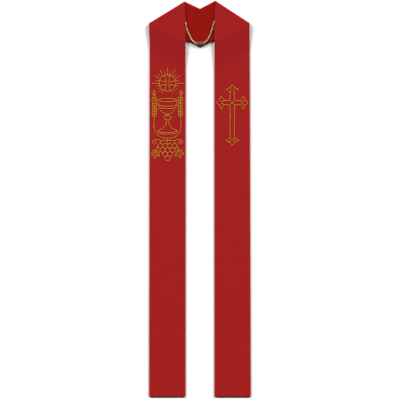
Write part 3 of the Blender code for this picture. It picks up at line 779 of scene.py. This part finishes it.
TURNING_BLEND = 0.0012  # each side of a turning's inner edge, over which it steps down
TURNING_SHARE = 0.6  # of the turned edges' rise that the field lies below the even level
PUCKER_LINE, PUCKER_SPREAD = 0.0055, 0.0035  # from the edge
PUCKER_RATE = 95  # of the noise, for each metre along the edge
WAVE_DEPTH = 0.00005
WAVE_RATES = (16, 9)  # across and along
FIELD_MIDDLE = 0.06  # across, between the inner edge's pucker and the outer edge's
FACE_DOWN_DROP = 0.00009  # so that nothing stands proud where it lies face down
LINING_SINK = 0.00012  # of the wrong side, inside its turnings


def surface_relief(cloth, from_edge, across, along, side):
    """How far the face stands off its even level: proud edges, dimples by them, soft waves."""
    low, high = cloth.hem_turning - TURNING_BLEND, cloth.hem_turning + TURNING_BLEND
    rise = (1 - smooth_step(low, high, from_edge) - TURNING_SHARE) * cloth.turning_rise
    # Each edge of each half reads a line of its own from the noise
    edge_line = side * 7.3 + (3.1 if across > FIELD_MIDDLE else 0.0)
    beat = noise.noise((along * PUCKER_RATE, edge_line, 0.5))
    ripple = max(0.0, beat) * exp(-(((from_edge - PUCKER_LINE) / PUCKER_SPREAD) ** 2))
    waves = noise.noise((across * WAVE_RATES[0] + side * 5, along * WAVE_RATES[1], 1.7))
    return rise - cloth.pucker_depth * 2 * ripple + WAVE_DEPTH * waves


def cloth_section(row, cloth, side):
    """Points round the wall at a row, as (place, across, whether the lining covers it)."""
    width = (row.outer - row.inner).length
    outward = (row.outer - row.inner) / width
    columns = [lerp(HALF_WALL, width - HALF_WALL, t) for t in shares(COLUMNS)[1:-1]]
    arc_angles = [radians(90 - 180 * t) for t in shares(EDGE_STEPS)]
    turning = cloth.hem_turning
    points = []
    for across in columns:
        relief = surface_relief(cloth, min(across, width - across), across, row.along, side)
        relief -= FACE_DOWN_DROP * (1 - row.right_side.z) / 2
        points.append((across, row.half_wall + relief, False))
    for angle in arc_angles:
        across = width - HALF_WALL + HALF_WALL * cos(angle)
        points.append((across, row.half_wall * sin(angle), False))
    for across in reversed(columns):
        from_edge = min(across, width - across)
        sink = LINING_SINK * smooth_step(turning - 0.001, turning, from_edge)
        points.append((across, -row.half_wall + sink, from_edge > turning - 0.0005))
    for angle in reversed(arc_angles):
        points.append((HALF_WALL - HALF_WALL * cos(angle), row.half_wall * sin(angle), False))
    return [
        (row.inner + outward * across + row.right_side * up, across, covered)
        for across, up, covered in points
    ]


def cloth_half(side):
    cloth = bpy.context.scene.stole_cloth
    half = Half(side)
    rows = half.rows()
    sections = [cloth_section(row, cloth, side) for row in rows]
    rings = [[(p.x * side, p.y, p.z) for p, _, _ in section] for section in sections]
    name = sided("cloth", side)
    mesh = shell(name, rings)
    unwrap(mesh, [(p[1], row.along) for row, section in zip(rows, sections) for p in section])
    faces = iter(mesh.polygons)
    for row, section in list(zip(rows, sections))[:-1]:
        for point, after in zip(section, section[1:] + section[:1]):
            lined = point[2] and after[2] and row.along > cloth.hem_turning
            next(faces).material_index = int(lined)
    piece = link_object(name, mesh, (face_cloth(), lining_cloth()))
    dressed(piece, "face_cloth", sided("stole_half", side))


class STOLE_OT_cloth(bpy.types.Operator):
    """Make both halves of the stole: woven face cloth, turned edges and folded shoulders"""

    bl_idname = "stole.cloth"
    bl_label = "Cloth"

    def execute(self, context):
        for side in SIDES:
            cloth_half(side)
        return {"FINISHED"}


# ---------------- the lining of the neck band

LINING_COLUMNS = 44
LINING_ROWS = 56
LINING_ROLL = 0.0010  # over which its edges round off
LINING_EDGE = 0.35  # thickness of its very edge, as a share of the whole
LINING_LIFT = 0.00002  # off the band
PUFF = 0.00008
PUFF_RATE = 40


def close_at_ends(count):
    """Shares of the way across, closer together at both ends."""
    fine = [0.0, 0.0015, 0.004, 0.008, 0.014]
    middle = [lerp(0.02, 0.98, t) for t in shares(count)]
    return fine + middle + [1 - f for f in reversed(fine)]


def lining_half(side):
    half = Half(side)
    upper_seam, upper_roll = half.band_line(*half.upper, LINING_INSET)
    lower_seam, lower_roll = half.band_line(*half.lower, -LINING_INSET)
    way = (lower_seam - lower_roll).normalized()
    aside = Vector((-way.y, way.x, 0))
    bottom = WALL + LINING_LIFT
    thick = LINING_TOP - bottom
    us, vs = close_at_ends(LINING_COLUMNS), close_at_ends(LINING_ROWS)
    width = (upper_roll - upper_seam).length
    height = (lower_seam - upper_seam).length
    top, flat_places = [], []
    for v in vs:
        for u in us:
            place = lerp(lerp(upper_seam, upper_roll, u), lerp(lower_seam, lower_roll, u), v)
            from_edge = min(u * width, (1 - u) * width, v * height, (1 - v) * height)
            roll = 1 - (1 - min(1.0, from_edge / LINING_ROLL)) ** 2
            spot = (place.x * PUFF_RATE * side, place.y * PUFF_RATE, 3.0)
            puff = PUFF * noise.noise(spot)
            rise = LINING_EDGE + (1 - LINING_EDGE) * roll
            z = bottom + thick * rise + puff * roll - PUFF
            top.append(Vector((place.x * side, place.y, z)))
            flat_places.append((place.dot(aside), place.dot(way)))
    columns, count = len(us), len(top)
    faces = []
    for start in range(0, count - columns, columns):
        for a in range(start, start + columns - 1):
            under = a + count
            faces.append((a, a + 1, a + columns + 1, a + columns))
            faces.append((under, under + columns, under + columns + 1, under + 1))
    rim = [*range(columns), *range(2 * columns - 1, count, columns)]
    rim += [*range(count - 2, count - columns - 1, -1), *range(count - 2 * columns, 0, -columns)]
    for a, b in zip(rim, rim[1:] + rim[:1]):
        faces.append((a, b, count + b, count + a))
    name = sided("lining", side)
    mesh = closed_mesh(name, top + [Vector((p.x, p.y, bottom)) for p in top], faces)
    unwrap(mesh, flat_places)
    mesh.set_sharp_from_angle(angle=radians(60))
    piece = link_object(name, mesh, (lining_cloth(),))
    dressed(piece, "lining", sided("neck_lining", side))
    polygon_area([upper_seam, upper_roll, lower_roll, lower_seam])


def polygon_area(corners):
    pairs = zip(corners, corners[1:] + corners[:1])
    return abs(sum(a.x * b.y - b.x * a.y for a, b in pairs)) / 2


class STOLE_OT_lining(bpy.types.Operator):
    """Make the satin lining that shows inside the neck band"""

    bl_idname = "stole.lining"
    bl_label = "Neck Lining"

    def execute(self, context):
        for side in SIDES:
            lining_half(side)
        return {"FINISHED"}


# ---------------- drawing with runs of (x, y) points, in mm


def between(a, b, t):
    return (lerp(a[0], b[0], t), lerp(a[1], b[1], t))


def on_bend(start, control, end, t):
    """A point this share of the way along a quadratic curve."""
    return between(between(start, control, t), between(control, end, t), t)


def bend(start, control, end, steps=12):
    return [on_bend(start, control, end, t) for t in shares(steps)]


def arc(centre, radius, first, last, steps=24, squash=1.0):
    """Points round a centre, from one angle to another in degrees; squash scales their height."""
    angles = [radians(lerp(first, last, t)) for t in shares(steps)]
    x, y = centre
    return [(x + radius * cos(a), y + radius * squash * sin(a)) for a in angles]


def joined(*runs):
    """Runs end to end, each starting where the one before ends."""
    whole = list(runs[0])
    for run in runs[1:]:
        whole += run[1:]
    return whole


def polar(centre, radius, angle):
    return (centre[0] + radius * cos(radians(angle)), centre[1] + radius * sin(radians(angle)))


def ray(centre, near, far, angle):
    return Stroke([polar(centre, near, angle), polar(centre, far, angle)])


def flipped(strokes):
    return [Stroke([(-x, y) for x, y in reversed(run)], closed) for run, closed in strokes]


def both_sides(strokes):
    return strokes + flipped(strokes)


def closed_arc(centre, radius, steps, squash=1.0):
    return Stroke(arc(centre, radius, 0, 360, steps, squash)[:-1], True)


# The cross. Its arms end in three points, and every size is in mm from the crossing.
ARM_HALF = 7.7
CROSS_ARMS = ((90, 63.4), (0, 55.8), (270, 151.5), (180, 55.8))  # direction in degrees, length
LOBE_START = 28.0  # before the tip, where the side point leaves the arm
LOBE_TIP = (17.3, 22.8)  # before the tip, and out from the arm's middle
NOTCH = (10.8, 8.6)  # the same, between the side point and the end point
LOBE_DIP = 8.0  # control of the curve that closes a side point, in from the arm's edge
BEND_AHEAD = 5.0  # of each curve's control, past its start
BEND_OUTS = (10.5, 15.0, 5.6)  # and out from the arm's middle, from the arm to the tip
KNOT_REACH, KNOT_HEART = 4.6, 2.4


def turned(points, angle):
    """Points given as (along, left of) a direction, in x and y."""
    return [polar(polar((0, 0), along, angle), left, angle + 90) for along, left in points]


def cross():
    outline, closings = [], []
    for angle, length in CROSS_ARMS:
        start, lobe = (length - LOBE_START, ARM_HALF), (length - LOBE_TIP[0], LOBE_TIP[1])
        notch = (length - NOTCH[0], NOTCH[1])
        corners = [start, lobe, notch, (length, 0.0)]
        side = joined(*(
            bend(near, (near[0] + BEND_AHEAD, out), far)
            for near, out, far in zip(corners, BEND_OUTS, corners[1:])
        ))
        back = [(along, -left) for along, left in reversed(side[:-1])]
        outline += turned([(ARM_HALF, ARM_HALF)] + side + back, angle)
        closing = bend(start, (between(start, notch, 0.5)[0], ARM_HALF - LOBE_DIP), notch)
        for way in (1, -1):
            closings.append(Stroke(turned([(x, way * left) for x, left in closing], angle)))
    return [Stroke(outline, True)] + closings


def cross_knot():
    """A small saltire with a diamond at its heart."""
    reach = KNOT_REACH
    arms = [Stroke([(-reach, -way * reach), (reach, way * reach)]) for way in (1, -1)]
    return arms + [closed_arc((0, 0), KNOT_HEART, 4)]


# The emblem: a host in its rays over a chalice, between wheat ears, above a vine.
HOST_CENTRE = (0.0, 112.0)
HOST_RADIUS = 29.0
HOST_CROSS = 5.7  # from its centre, where the four arms of the cross on it meet
HOST_CROSS_TURNS = (19, 71)
RAY_COUNT = 24
LONG_RAY, SHORT_RAY, SHADED_RAY = 26.0, 15.0, 10.0
RAY_FREE_ANGLE = 28  # each side of straight down
SHADED_ANGLE = 85  # each side of straight down, where the ears come close
CUP_RIM = (0.0, 52.0)
CUP_HALF = 33.0
CUP_BANDS = ((36, 30.5), (27, 27.5))  # height, half width
CUP_BEND, STEM_BEND = (-32, 10), (-6, -46)
FOOT_TOP, FOOT_BOTTOM = (-56, 34.0), (-61.5, 34.6)
STEM_HALF, STEM_TOP, STEM_LOW = 4.5, -16, -28
COLLAR, COLLAR_FOOT = (-6, 3), (-5, -4)
KNOP_CENTRE = (0.0, -10.0)
KNOP_RADIUS = 13
STALK_FOOT, STALK_BEND = (-3.4, -83.0), (-58.0, -82.0)
EAR_FOOT, EAR_BEND, EAR_TOP = (-46.0, -8.0), (-43.0, 26.0), (-47.0, 58.0)
GRAIN_PAIRS = 7
GRAIN_LENGTH, GRAIN_BULGE = 15.0, 6.5
GRAIN_ANGLES, TIP_ANGLE = (122, 62), 94
AWN_START = 9
AWNS = ((80, 27), (94, 32), (108, 26))  # angle, length
GRAPE_RADIUS = 8.5
GRAPE_ROWS = ((4, -110.0), (3, -124.7), (2, -139.4), (1, -154.1))  # grapes, height
LEAF_CENTRE = (-41.0, -133.0)
LEAF_SIZE = 21.0
LEAF_HEADING = 258
LEAF_POINTS = ((-118, 0.62), (-58, 0.88), (0, 1.0), (58, 0.88), (118, 0.62))  # turn, share of size
LEAF_HOLLOW, LEAF_SWELL, LEAF_VEIN = 0.48, 0.8, 0.66  # shares of the size or of a point's reach
LEAF_SWELL_TURN = 22
LEAF_STALK_END = (-39.7, -126.8)
VINE_STEM = ((0.0, -80.0), (0, -92), (-1, -104))
VINE_BRANCH = ((0.0, -91.0), (-28.0, -84.0), LEAF_STALK_END)
TENDRIL_ROOT = 0.4  # of the branch's length, where it leaves
TENDRIL_CENTRE = (-46.0, -97.0)
TENDRIL_BEND = (-32, -86)
TENDRIL_RADII, TENDRIL_TURN = (8.5, 2.5), 430
FLATNESS = (0.18, 0.2, 0.58)  # of the cup's rings, the foot's and the knop


def host():
    strokes = [closed_arc(HOST_CENTRE, HOST_RADIUS, 90)]
    for k in range(RAY_COUNT):
        angle = 360 * k / RAY_COUNT
        from_down = abs(angle - 270)
        from_down = min(from_down, 360 - from_down)
        length = SHADED_RAY if from_down < SHADED_ANGLE else (SHORT_RAY, LONG_RAY)[k % 2 == 0]
        if from_down >= RAY_FREE_ANGLE:
            strokes.append(ray(HOST_CENTRE, HOST_RADIUS, HOST_RADIUS + length, angle))
    for quarter in (0, 90, 180, 270):
        root = polar(HOST_CENTRE, HOST_CROSS, quarter + 45)
        for turn in HOST_CROSS_TURNS:
            strokes.append(Stroke([root, polar(HOST_CENTRE, HOST_RADIUS, quarter + turn)]))
    return strokes


def chalice():
    cup_flat, foot_flat, knop_flat = FLATNESS
    foot, foot_edge = ((-half, y) for y, half in (FOOT_TOP, FOOT_BOTTOM))
    stem = [(-STEM_HALF, STEM_TOP), (-STEM_HALF, STEM_LOW)]
    sides = [
        bend((-CUP_HALF, CUP_RIM[1]), CUP_BEND, COLLAR, 20),
        [COLLAR, COLLAR_FOOT],
        joined(stem, bend(stem[1], STEM_BEND, foot, 16)),
        [foot, foot_edge],
    ]
    rings = [(*band, cup_flat) for band in CUP_BANDS]
    rings += [(*band, foot_flat) for band in (FOOT_TOP, FOOT_BOTTOM)]
    collar = Stroke([COLLAR, (-COLLAR[0], COLLAR[1])])
    bands = [Stroke(arc((0, y), half, 180, 360, squash=flat)) for y, half, flat in rings]
    rim = closed_arc(CUP_RIM, CUP_HALF, 60, cup_flat)
    knop = closed_arc(KNOP_CENTRE, KNOP_RADIUS, 40, knop_flat)
    return both_sides([Stroke(run) for run in sides]) + [collar] + bands + [rim, knop]


def grain(base, angle):
    """A pointed grain that grows from base."""
    tip = polar(base, GRAIN_LENGTH, angle)
    middle = between(base, tip, 0.5)
    there = bend(base, polar(middle, GRAIN_BULGE, angle + 90), tip, 8)
    back = bend(tip, polar(middle, GRAIN_BULGE, angle - 90), base, 8)
    return Stroke(joined(there, back)[:-1], True)


def wheat_ear():
    """The left ear, with its stalk."""
    stalk = bend(STALK_FOOT, STALK_BEND, EAR_FOOT, 24)
    strokes = [Stroke(joined(stalk, bend(EAR_FOOT, EAR_BEND, EAR_TOP, 16)))]
    for t in shares(GRAIN_PAIRS)[:-1]:
        root = on_bend(EAR_FOOT, EAR_BEND, EAR_TOP, t)
        strokes += [grain(root, angle) for angle in GRAIN_ANGLES]
    strokes.append(grain(EAR_TOP, TIP_ANGLE))
    return strokes + [ray(EAR_TOP, AWN_START, length, angle) for angle, length in AWNS]


def vine_leaf():
    """The left leaf: five points with hollows between them, and veins from the stalk's end."""
    outline, veins = [LEAF_STALK_END], []

    def place(reach, turn):
        return polar(LEAF_CENTRE, reach, LEAF_HEADING + turn)

    for k, (turn, share) in enumerate(LEAF_POINTS):
        reach = share * LEAF_SIZE
        tip, hollow = place(reach, turn), LEAF_STALK_END
        if k + 1 < len(LEAF_POINTS):
            hollow = place(LEAF_HOLLOW * LEAF_SIZE, (turn + LEAF_POINTS[k + 1][0]) / 2)
        rise = place(LEAF_SWELL * reach, turn - LEAF_SWELL_TURN)
        fall = place(LEAF_SWELL * reach, turn + LEAF_SWELL_TURN)
        outline = joined(outline, bend(outline[-1], rise, tip, 8), bend(tip, fall, hollow, 8))
        if abs(turn) < 90:
            veins.append(Stroke([LEAF_STALK_END, place(LEAF_VEIN * reach, turn)]))
    return [Stroke(outline[:-1], True)] + veins + [Stroke(bend(*VINE_BRANCH, 20))]


def tendril():
    """The left tendril, which leaves the vine and curls in."""
    curl = [
        polar(TENDRIL_CENTRE, lerp(*TENDRIL_RADII, t), 90 + TENDRIL_TURN * t) for t in shares(40)
    ]
    root = on_bend(*VINE_BRANCH, TENDRIL_ROOT)
    return [Stroke(joined(bend(root, TENDRIL_BEND, curl[0], 10), curl))]


def vine():
    grapes = [
        closed_arc(((2 * k - count + 1) * GRAPE_RADIUS, height), GRAPE_RADIUS, 30)
        for count, height in GRAPE_ROWS for k in range(count)
    ]
    return grapes + [Stroke([*VINE_STEM])] + both_sides(vine_leaf() + tendril())


# ---------------- embroidery and hand sewing

LONGEST_RUN = 0.008  # of straight line between points, so that it follows the cloth
SATIN_SINK = 0.0001  # of a line of satin stitch, into the cloth
SATIN_SLANT = 0.22
SLIP_STITCH = {"Spacing": 0.0052, "Width": 0.0019, "Rise": 0.00045, "Thickness": 0.00030}
SLIP_INSET = LINING_INSET + 0.0004
SLIP_Z = WALL + 0.00045
SLIP_START = 0.008  # past a front's inner edge, under it
SLIP_SLANT = 0.9
RING_STITCH = {
    "Spacing": 0.00055, "Width": 0.0034, "Rise": 0.0018, "Thickness": 0.00042, "Slant": 0.1,
}
RING_STITCH_Z = FRONT_LIFT + WALL - 0.0002
RING_SEWN_MIDDLE = {-1: 170, 1: 10}  # degrees round the ring, on its outer half
RING_SEWN_REACH = 80  # degrees each side of that


def divided(stroke, longest):
    """The stroke's points, with more along its long straight runs."""
    ends = stroke.points[1:] + (stroke.points[:1] if stroke.closed else [])
    points = []
    for a, b in zip(stroke.points, ends):
        steps = max(1, round((Vector(b) - Vector(a)).length / longest))
        points += [between(a, b, t) for t in shares(steps)[:-1]]
    return points if stroke.closed else points + [stroke.points[-1]]


def stitched(name, strokes, finish, height, sizes, centre=(0, 0), scale=1):
    """Stitches along strokes. Their height is a number, or a function of the place."""
    points, edges = [], []
    for stroke in strokes:
        run = divided(stroke, LONGEST_RUN / scale)
        start, count = len(points), len(run)
        for x, y in run:
            x, y = centre[0] + x * scale, centre[1] + y * scale
            points.append((x, y, height(x, y) if callable(height) else height))
        edges += [(start + i, start + i + 1) for i in range(count - 1)]
        if stroke.closed:
            edges.append((start + count - 1, start))
    return grown(name, mesh_of(name, points, [], edges), stitches(), {**sizes, "Material": finish})


def satin_stitched(name, strokes, centre, seed):
    settings = bpy.context.scene.stole_embroidery
    side = 1 if centre[0] > 0 else -1
    half = Half(side)

    def on_cloth(x, y):
        return WALL - SATIN_SINK + half.lift_at(x * side, y)

    sizes = {
        "Spacing": settings.spacing, "Width": settings.line_width, "Rise": settings.rise,
        "Thickness": settings.thread_thickness, "Slant": SATIN_SLANT, "Seed": seed,
    }
    piece = stitched(f"{name}_stitching", strokes, gold_thread(), on_cloth, sizes, centre, MM)
    dressed(piece, "gold_thread", f"embroidered_{name}")


def slip_stitches(side):
    """Small slanting stitches that catch the lining down along both edges of the band."""
    half = Half(side)
    runs = []
    for edge, inset in ((half.upper, SLIP_INSET), (half.lower, -SLIP_INSET)):
        seam, roll = half.band_line(*edge, inset)
        begin = lerp(seam, roll, min(1.0, (half.lay.inner + SLIP_START) / roll.x))
        runs.append(Stroke([(begin.x * side, begin.y), (seam.x * side, seam.y)]))
    sizes = {**SLIP_STITCH, "Slant": SLIP_SLANT * side, "Seed": 21 + side}
    name = sided("slip_stitches", side)
    dressed(stitched(name, runs, red_thread(), SLIP_Z, sizes), "face_cloth")


def ring_stitches(side):
    """Red thread whipped over the outer half of a ring, into the edge of the front."""
    first, last = (RING_SEWN_MIDDLE[side] + way * RING_SEWN_REACH for way in (-1, 1))
    run = Stroke(arc(RING_CENTRES[side], RING_RADIUS, first, last))
    sizes = {**RING_STITCH, "Seed": 31 + side}
    name = sided("ring_stitches", side)
    dressed(stitched(name, [run], red_thread(), RING_STITCH_Z, sizes), "face_cloth")


class STOLE_OT_embroidery(bpy.types.Operator):
    """Stitch the cross on the right front and the emblem on the left in gold satin stitch"""

    bl_idname = "stole.embroidery"
    bl_label = "Embroidery"

    def execute(self, context):
        ear = wheat_ear()
        satin_stitched("cross", cross(), CROSS_CENTRE, 3)
        satin_stitched("cross_knot", cross_knot(), CROSS_CENTRE, 5)
        satin_stitched("host", host(), EMBLEM_CENTRE, 7)
        satin_stitched("chalice", chalice(), EMBLEM_CENTRE, 9)
        satin_stitched("wheat_left", ear, EMBLEM_CENTRE, 11)
        satin_stitched("wheat_right", flipped(ear), EMBLEM_CENTRE, 13)
        satin_stitched("vine", vine(), EMBLEM_CENTRE, 15)
        return {"FINISHED"}


class STOLE_OT_sewing(bpy.types.Operator):
    """Sew the lining down by hand and whip the chain's rings to the fronts"""

    bl_idname = "stole.sewing"
    bl_label = "Hand Sewing"

    def execute(self, context):
        for side in SIDES:
            slip_stitches(side)
            ring_stitches(side)
        return {"FINISHED"}


# ---------------- rings, clasp and chain

WIRE_SIDES = 16
CHAIN_START_Z = RING_Z
CHAIN_REST_Z = LINING_TOP + 0.00125  # so that the rolled links lie on the lining
CHAIN_HELD = 0.003  # from the ring, before it starts down
CHAIN_SETTLE = 0.014  # over which it comes down
CHAIN_END_Z = CLASP_Z + 0.0004
CHAIN_STEPS = 12  # of the curve between two points of its route
LINK_ON_BAR = 0.0006  # the last link's middle, past the middle of the clasp's end bar
LINK_HOLD = 2.1  # how far a link reaches into the next one, in thicknesses of its wire
PITCH_SLACK = 0.01  # of a link, so that rounding can't drop the last one


def wire_loop(name, path, radius):
    """A closed loop of round wire of this radius in a level plane, along a path of points."""
    angles = [2 * pi * (k + 0.5) / WIRE_SIDES for k in range(WIRE_SIDES)]
    rings = []
    for i, point in enumerate(path):
        forward = (path[(i + 1) % len(path)] - path[i - 1]).normalized()
        outward = Vector((forward.y, -forward.x, 0))
        rings.append([
            point + outward * radius * cos(angle) + Vector((0, 0, radius * sin(angle)))
            for angle in angles
        ])
    return shell(name, rings, closed=True)


def sewn_ring(side):
    circle = arc(RING_CENTRES[side], RING_RADIUS, 0, 360, 48)[:-1]
    name = sided("ring", side)
    mesh = wire_loop(name, [Vector((x, y, RING_Z)) for x, y in circle], RING_WIRE)
    piece = link_object(name, mesh, (plated_metal(),))
    return dressed(piece, "chain_metal", sided("chain_ring", side))


def clasp_placed(points):
    """Points given from the clasp's centre, set in their place."""
    turn = Matrix.Rotation(radians(CLASP_TILT), 3, "Z")
    return [turn @ Vector(p) + Vector((*CLASP_CENTRE, CLASP_Z)) for p in points]


def clasp_arcs():
    """The corners of the right frame's middle line: far top, near top, near bottom, far bottom."""
    near, far = CLASP_BAR_HALF_GAP + CLASP_WIRE, CLASP_REACH - CLASP_WIRE
    half_height = CLASP_HEIGHT / 2 - CLASP_WIRE
    corners = []
    for turn, (x, y) in enumerate(((far, 1), (near, 1), (near, -1), (far, -1))):
        way = 1 if x == far else -1
        centre = (x - way * CLASP_CORNER, y * (half_height - CLASP_CORNER))
        corners.append(arc(centre, CLASP_CORNER, 90 * turn, 90 * turn + 90, 12))
    return corners


def clasp_frame(side):
    path = clasp_placed([(x * side, y, 0) for corner in clasp_arcs() for x, y in corner])
    return wire_loop("frame", path, CLASP_WIRE)


def slot(x, way, size):
    """The corners of a slot in a plate's edge at x, cut towards +x where way is 1, else -x."""
    deep, half = x + way * size[0], way * size[1]
    return [(x, half), (deep, half), (deep, -half), (x, -half)]


def clasp_plate(side, tongue_slot):
    """The sunk plate in a frame, whose edge is hidden in the wire."""
    far_top, near_top, near_bottom, far_bottom = clasp_arcs()
    near, far = near_top[-1][0], far_top[0][0]
    near_slot = slot(near, 1, TONGUE_SLOT) if tongue_slot else []
    outline = far_top + near_top + near_slot + near_bottom + far_bottom + slot(far, -1, LINK_SLOT)
    half = PLATE_WALL / 2
    faces = [clasp_placed([(x * side, y, z) for x, y in outline]) for z in (-half, half)]
    return shell("plate", faces)


def clasp_tongue():
    """The tongue arches from the hook's bar over the eye's and down behind it."""
    bar = (-CLASP_BAR_HALF_GAP - CLASP_WIRE, 0)
    inside = CLASP_WIRE + CLEARANCE
    profile = arc(bar, inside + TONGUE_WALL, 0, TONGUE_LAST_ANGLE, 30)
    profile += reversed(arc(bar, inside, 0, TONGUE_LAST_ANGLE, 30))
    count, half = len(profile), TONGUE_WIDTH / 2
    sides = [clasp_placed([(x, y, z) for x, z in profile]) for y in (-half, half)]
    caps = [
        (start + k, start + k + 1, start + count - 2 - k, start + count - 1 - k)
        for start in (0, count) for k in range(count // 2 - 1)
    ]
    mesh, shape = shell("tongue", sides, caps=caps), bmesh.new()
    shape.from_mesh(mesh)
    sharp = [e for e in shape.edges if e.calc_face_angle() > radians(60)]
    bmesh.ops.bevel(shape, geom=sharp, offset=TONGUE_BEVEL, segments=2, affect="EDGES")
    shape.to_mesh(mesh)
    shape.free()
    return mesh


def clasp_part(name, frame, *hollow):
    """One piece of a polished frame and what lies in its hollow, in near-black metal."""
    whole = bmesh.new()
    for mesh in (frame, *hollow):
        before = len(whole.faces)
        whole.from_mesh(mesh)
        whole.faces.ensure_lookup_table()
        for face in whole.faces[before:]:
            face.material_index = int(mesh is not frame)
            face.smooth = True
    made = bpy.data.meshes.new(f"{name}_frame")
    whole.to_mesh(made)
    whole.free()
    for mesh in (frame, *hollow):
        bpy.data.meshes.remove(mesh)
    made.set_sharp_from_angle(angle=radians(50))
    piece = link_object(f"{name}_frame", made, (plated_metal(), dark_plate_metal()))
    return dressed(piece, "chain_metal", name)


def clasp(side):
    """The eye on the left, with room for the tongue, or the hook on the right, with its tongue."""
    if side < 0:
        return clasp_part("clasp_eye", clasp_frame(side), clasp_plate(side, tongue_slot=True))
    plate = clasp_plate(side, tongue_slot=False)
    return clasp_part("clasp_hook", clasp_frame(side), plate, clasp_tongue())


def chain_line(side):
    """Points along the chain's middle, on a smooth curve through its route (Catmull-Rom)."""
    points = [Vector((x, y, 0)) for x, y in CHAIN_ROUTES[side]]
    end, = clasp_placed([(side * (CLASP_REACH - CLASP_WIRE + LINK_ON_BAR), 0, 0)])
    points.append(end.xy.to_3d())
    points = [points[0] * 2 - points[1]] + points + [points[-1] * 2 - points[-2]]
    line = []
    for before, a, b, after in zip(points, points[1:], points[2:], points[3:]):
        for t in shares(CHAIN_STEPS)[:-1]:
            even = 2 * a + (b - before) * t
            bent = (2 * before - 5 * a + 4 * b - after) * t**2
            bent += (3 * a - before - 3 * b + after) * t**3
            line.append(0.5 * (even + bent))
    line.append(points[-2])
    whole = length_of(line)
    gone, placed = 0.0, []
    for i, point in enumerate(line):
        gone += (point - line[i - 1]).length if i else 0.0
        down = smooth_step(CHAIN_HELD, CHAIN_HELD + CHAIN_SETTLE, gone)
        z = lerp(CHAIN_START_Z, CHAIN_REST_Z, down)
        z = lerp(z, CHAIN_END_Z, smooth_step(whole - CHAIN_SETTLE / 2, whole, gone))
        placed.append(Vector((point.x, point.y, z)))
    return placed


def neck_chain(side):
    settings = bpy.context.scene.stole_chain
    line = chain_line(side)
    name = sided("chain", side)
    path = mesh_of(name, line, [], [(i, i + 1) for i in range(len(line) - 1)])
    whole = length_of(line)
    links = round(whole / (settings.link_length - LINK_HOLD * settings.wire_thickness))
    piece = grown(name, path, chain_links(), {
        "Pitch": whole / (links + PITCH_SLACK), "Length": settings.link_length,
        "Width": settings.link_width, "Wire": settings.wire_thickness, "Roll": settings.roll,
        "First Roll": radians(90) + settings.roll, "Seed": 41 + side, "Material": plated_metal(),
    })
    dressed(piece, "chain_metal", sided("neck_chain", side))


class STOLE_OT_chain(bpy.types.Operator):
    """Make the neck chain's links, the rings that they are sewn on by, and the clasp"""

    bl_idname = "stole.chain"
    bl_label = "Neck Chain"

    def execute(self, context):
        rings = {side: sewn_ring(side) for side in SIDES}
        clasps = {side: clasp(side) for side in SIDES}
        for side in SIDES:
            neck_chain(side)
        return {"FINISHED"}


# ---------------- stage

FLOOR_REACH = 8.0


@material("floor")
def floor_paint(tree):
    return {"Base Color": (0.93, 0.93, 0.93, 1), "Roughness": 0.9, "Specular IOR Level": 0.0}


def floor():
    corners = ((-1, -1), (1, -1), (1, 1), (-1, 1))
    points = [(x * FLOOR_REACH, y * FLOOR_REACH, 0) for x, y in corners]
    link_object("floor", mesh_of("floor", points, [(0, 1, 2, 3)]), (floor_paint(),))


def camera():
    stage = bpy.context.scene.stole_stage
    data = bpy.data.cameras.new("camera")
    data.sensor_width = 36.0
    data.lens = data.sensor_width * stage.camera_height / stage.view_width
    data.clip_end = 100.0
    made = link_object("camera", data)
    made.location = (*stage.view_middle, stage.camera_height)
    bpy.context.scene.camera = made


def lights():
    stage = bpy.context.scene.stole_stage
    world = bpy.data.worlds.new("studio")
    world.use_nodes = True
    background = world.node_tree.nodes["Background"]
    feed(background, {"Color": (1, 1, 1, 1), "Strength": stage.sky_strength})
    bpy.context.scene.world = world
    lamps = (("key", 0.0, stage.key_strength), ("left", stage.side_turn, stage.side_strength),
             ("right", -stage.side_turn, stage.side_strength))
    for name, turn, strength in lamps:
        data = bpy.data.lights.new(name, "SUN")
        data.energy = strength
        data.angle = stage.light_size
        made = link_object(name, data)
        level = cos(stage.light_height)
        away = Vector((sin(turn) * level, -cos(turn) * level, -sin(stage.light_height)))
        made.rotation_euler = away.to_track_quat("-Z", "Y").to_euler()
        made.location = away * -3


class STOLE_OT_stage(bpy.types.Operator):
    """Set a pale floor, soft studio light and a camera straight above"""

    bl_idname = "stole.stage"
    bl_label = "Stage"

    def execute(self, context):
        context.scene.view_settings.view_transform = "Standard"
        floor()
        camera()
        lights()
        return {"FINISHED"}


# ---------------- panel and registration

STEPS = (STOLE_OT_stage, STOLE_OT_cloth, STOLE_OT_lining, STOLE_OT_chain, STOLE_OT_embroidery,
         STOLE_OT_sewing)
GROUPS = {
    "stole_cloth": ClothSettings,
    "stole_embroidery": EmbroiderySettings,
    "stole_chain": ChainSettings,
    "stole_stage": StageSettings,
}


class STOLE_PT_panel(bpy.types.Panel):
    """Settings and steps of the stole"""

    bl_idname = "STOLE_PT_panel"
    bl_label = "Clerical Stole"
    bl_space_type = "VIEW_3D"
    bl_region_type = "UI"
    bl_category = "Stole"

    def draw(self, context):
        for name in GROUPS:
            settings = getattr(context.scene, name)
            box = self.layout.box()
            for key in settings.__annotations__:
                box.prop(settings, key)
        for step in STEPS:
            self.layout.operator(step.bl_idname)


CLASSES = (*GROUPS.values(), *STEPS, STOLE_PT_panel)


def register():
    for kind in CLASSES:
        bpy.utils.register_class(kind)
    for name, group in GROUPS.items():
        setattr(bpy.types.Scene, name, PointerProperty(type=group))


def unregister():
    for name in GROUPS:
        delattr(bpy.types.Scene, name)
    for kind in reversed(CLASSES):
        bpy.utils.unregister_class(kind)


def main():
    register()
    for step in STEPS:
        part, name = step.bl_idname.split(".")
        getattr(getattr(bpy.ops, part), name)()


if __name__ == "__main__":
    main()
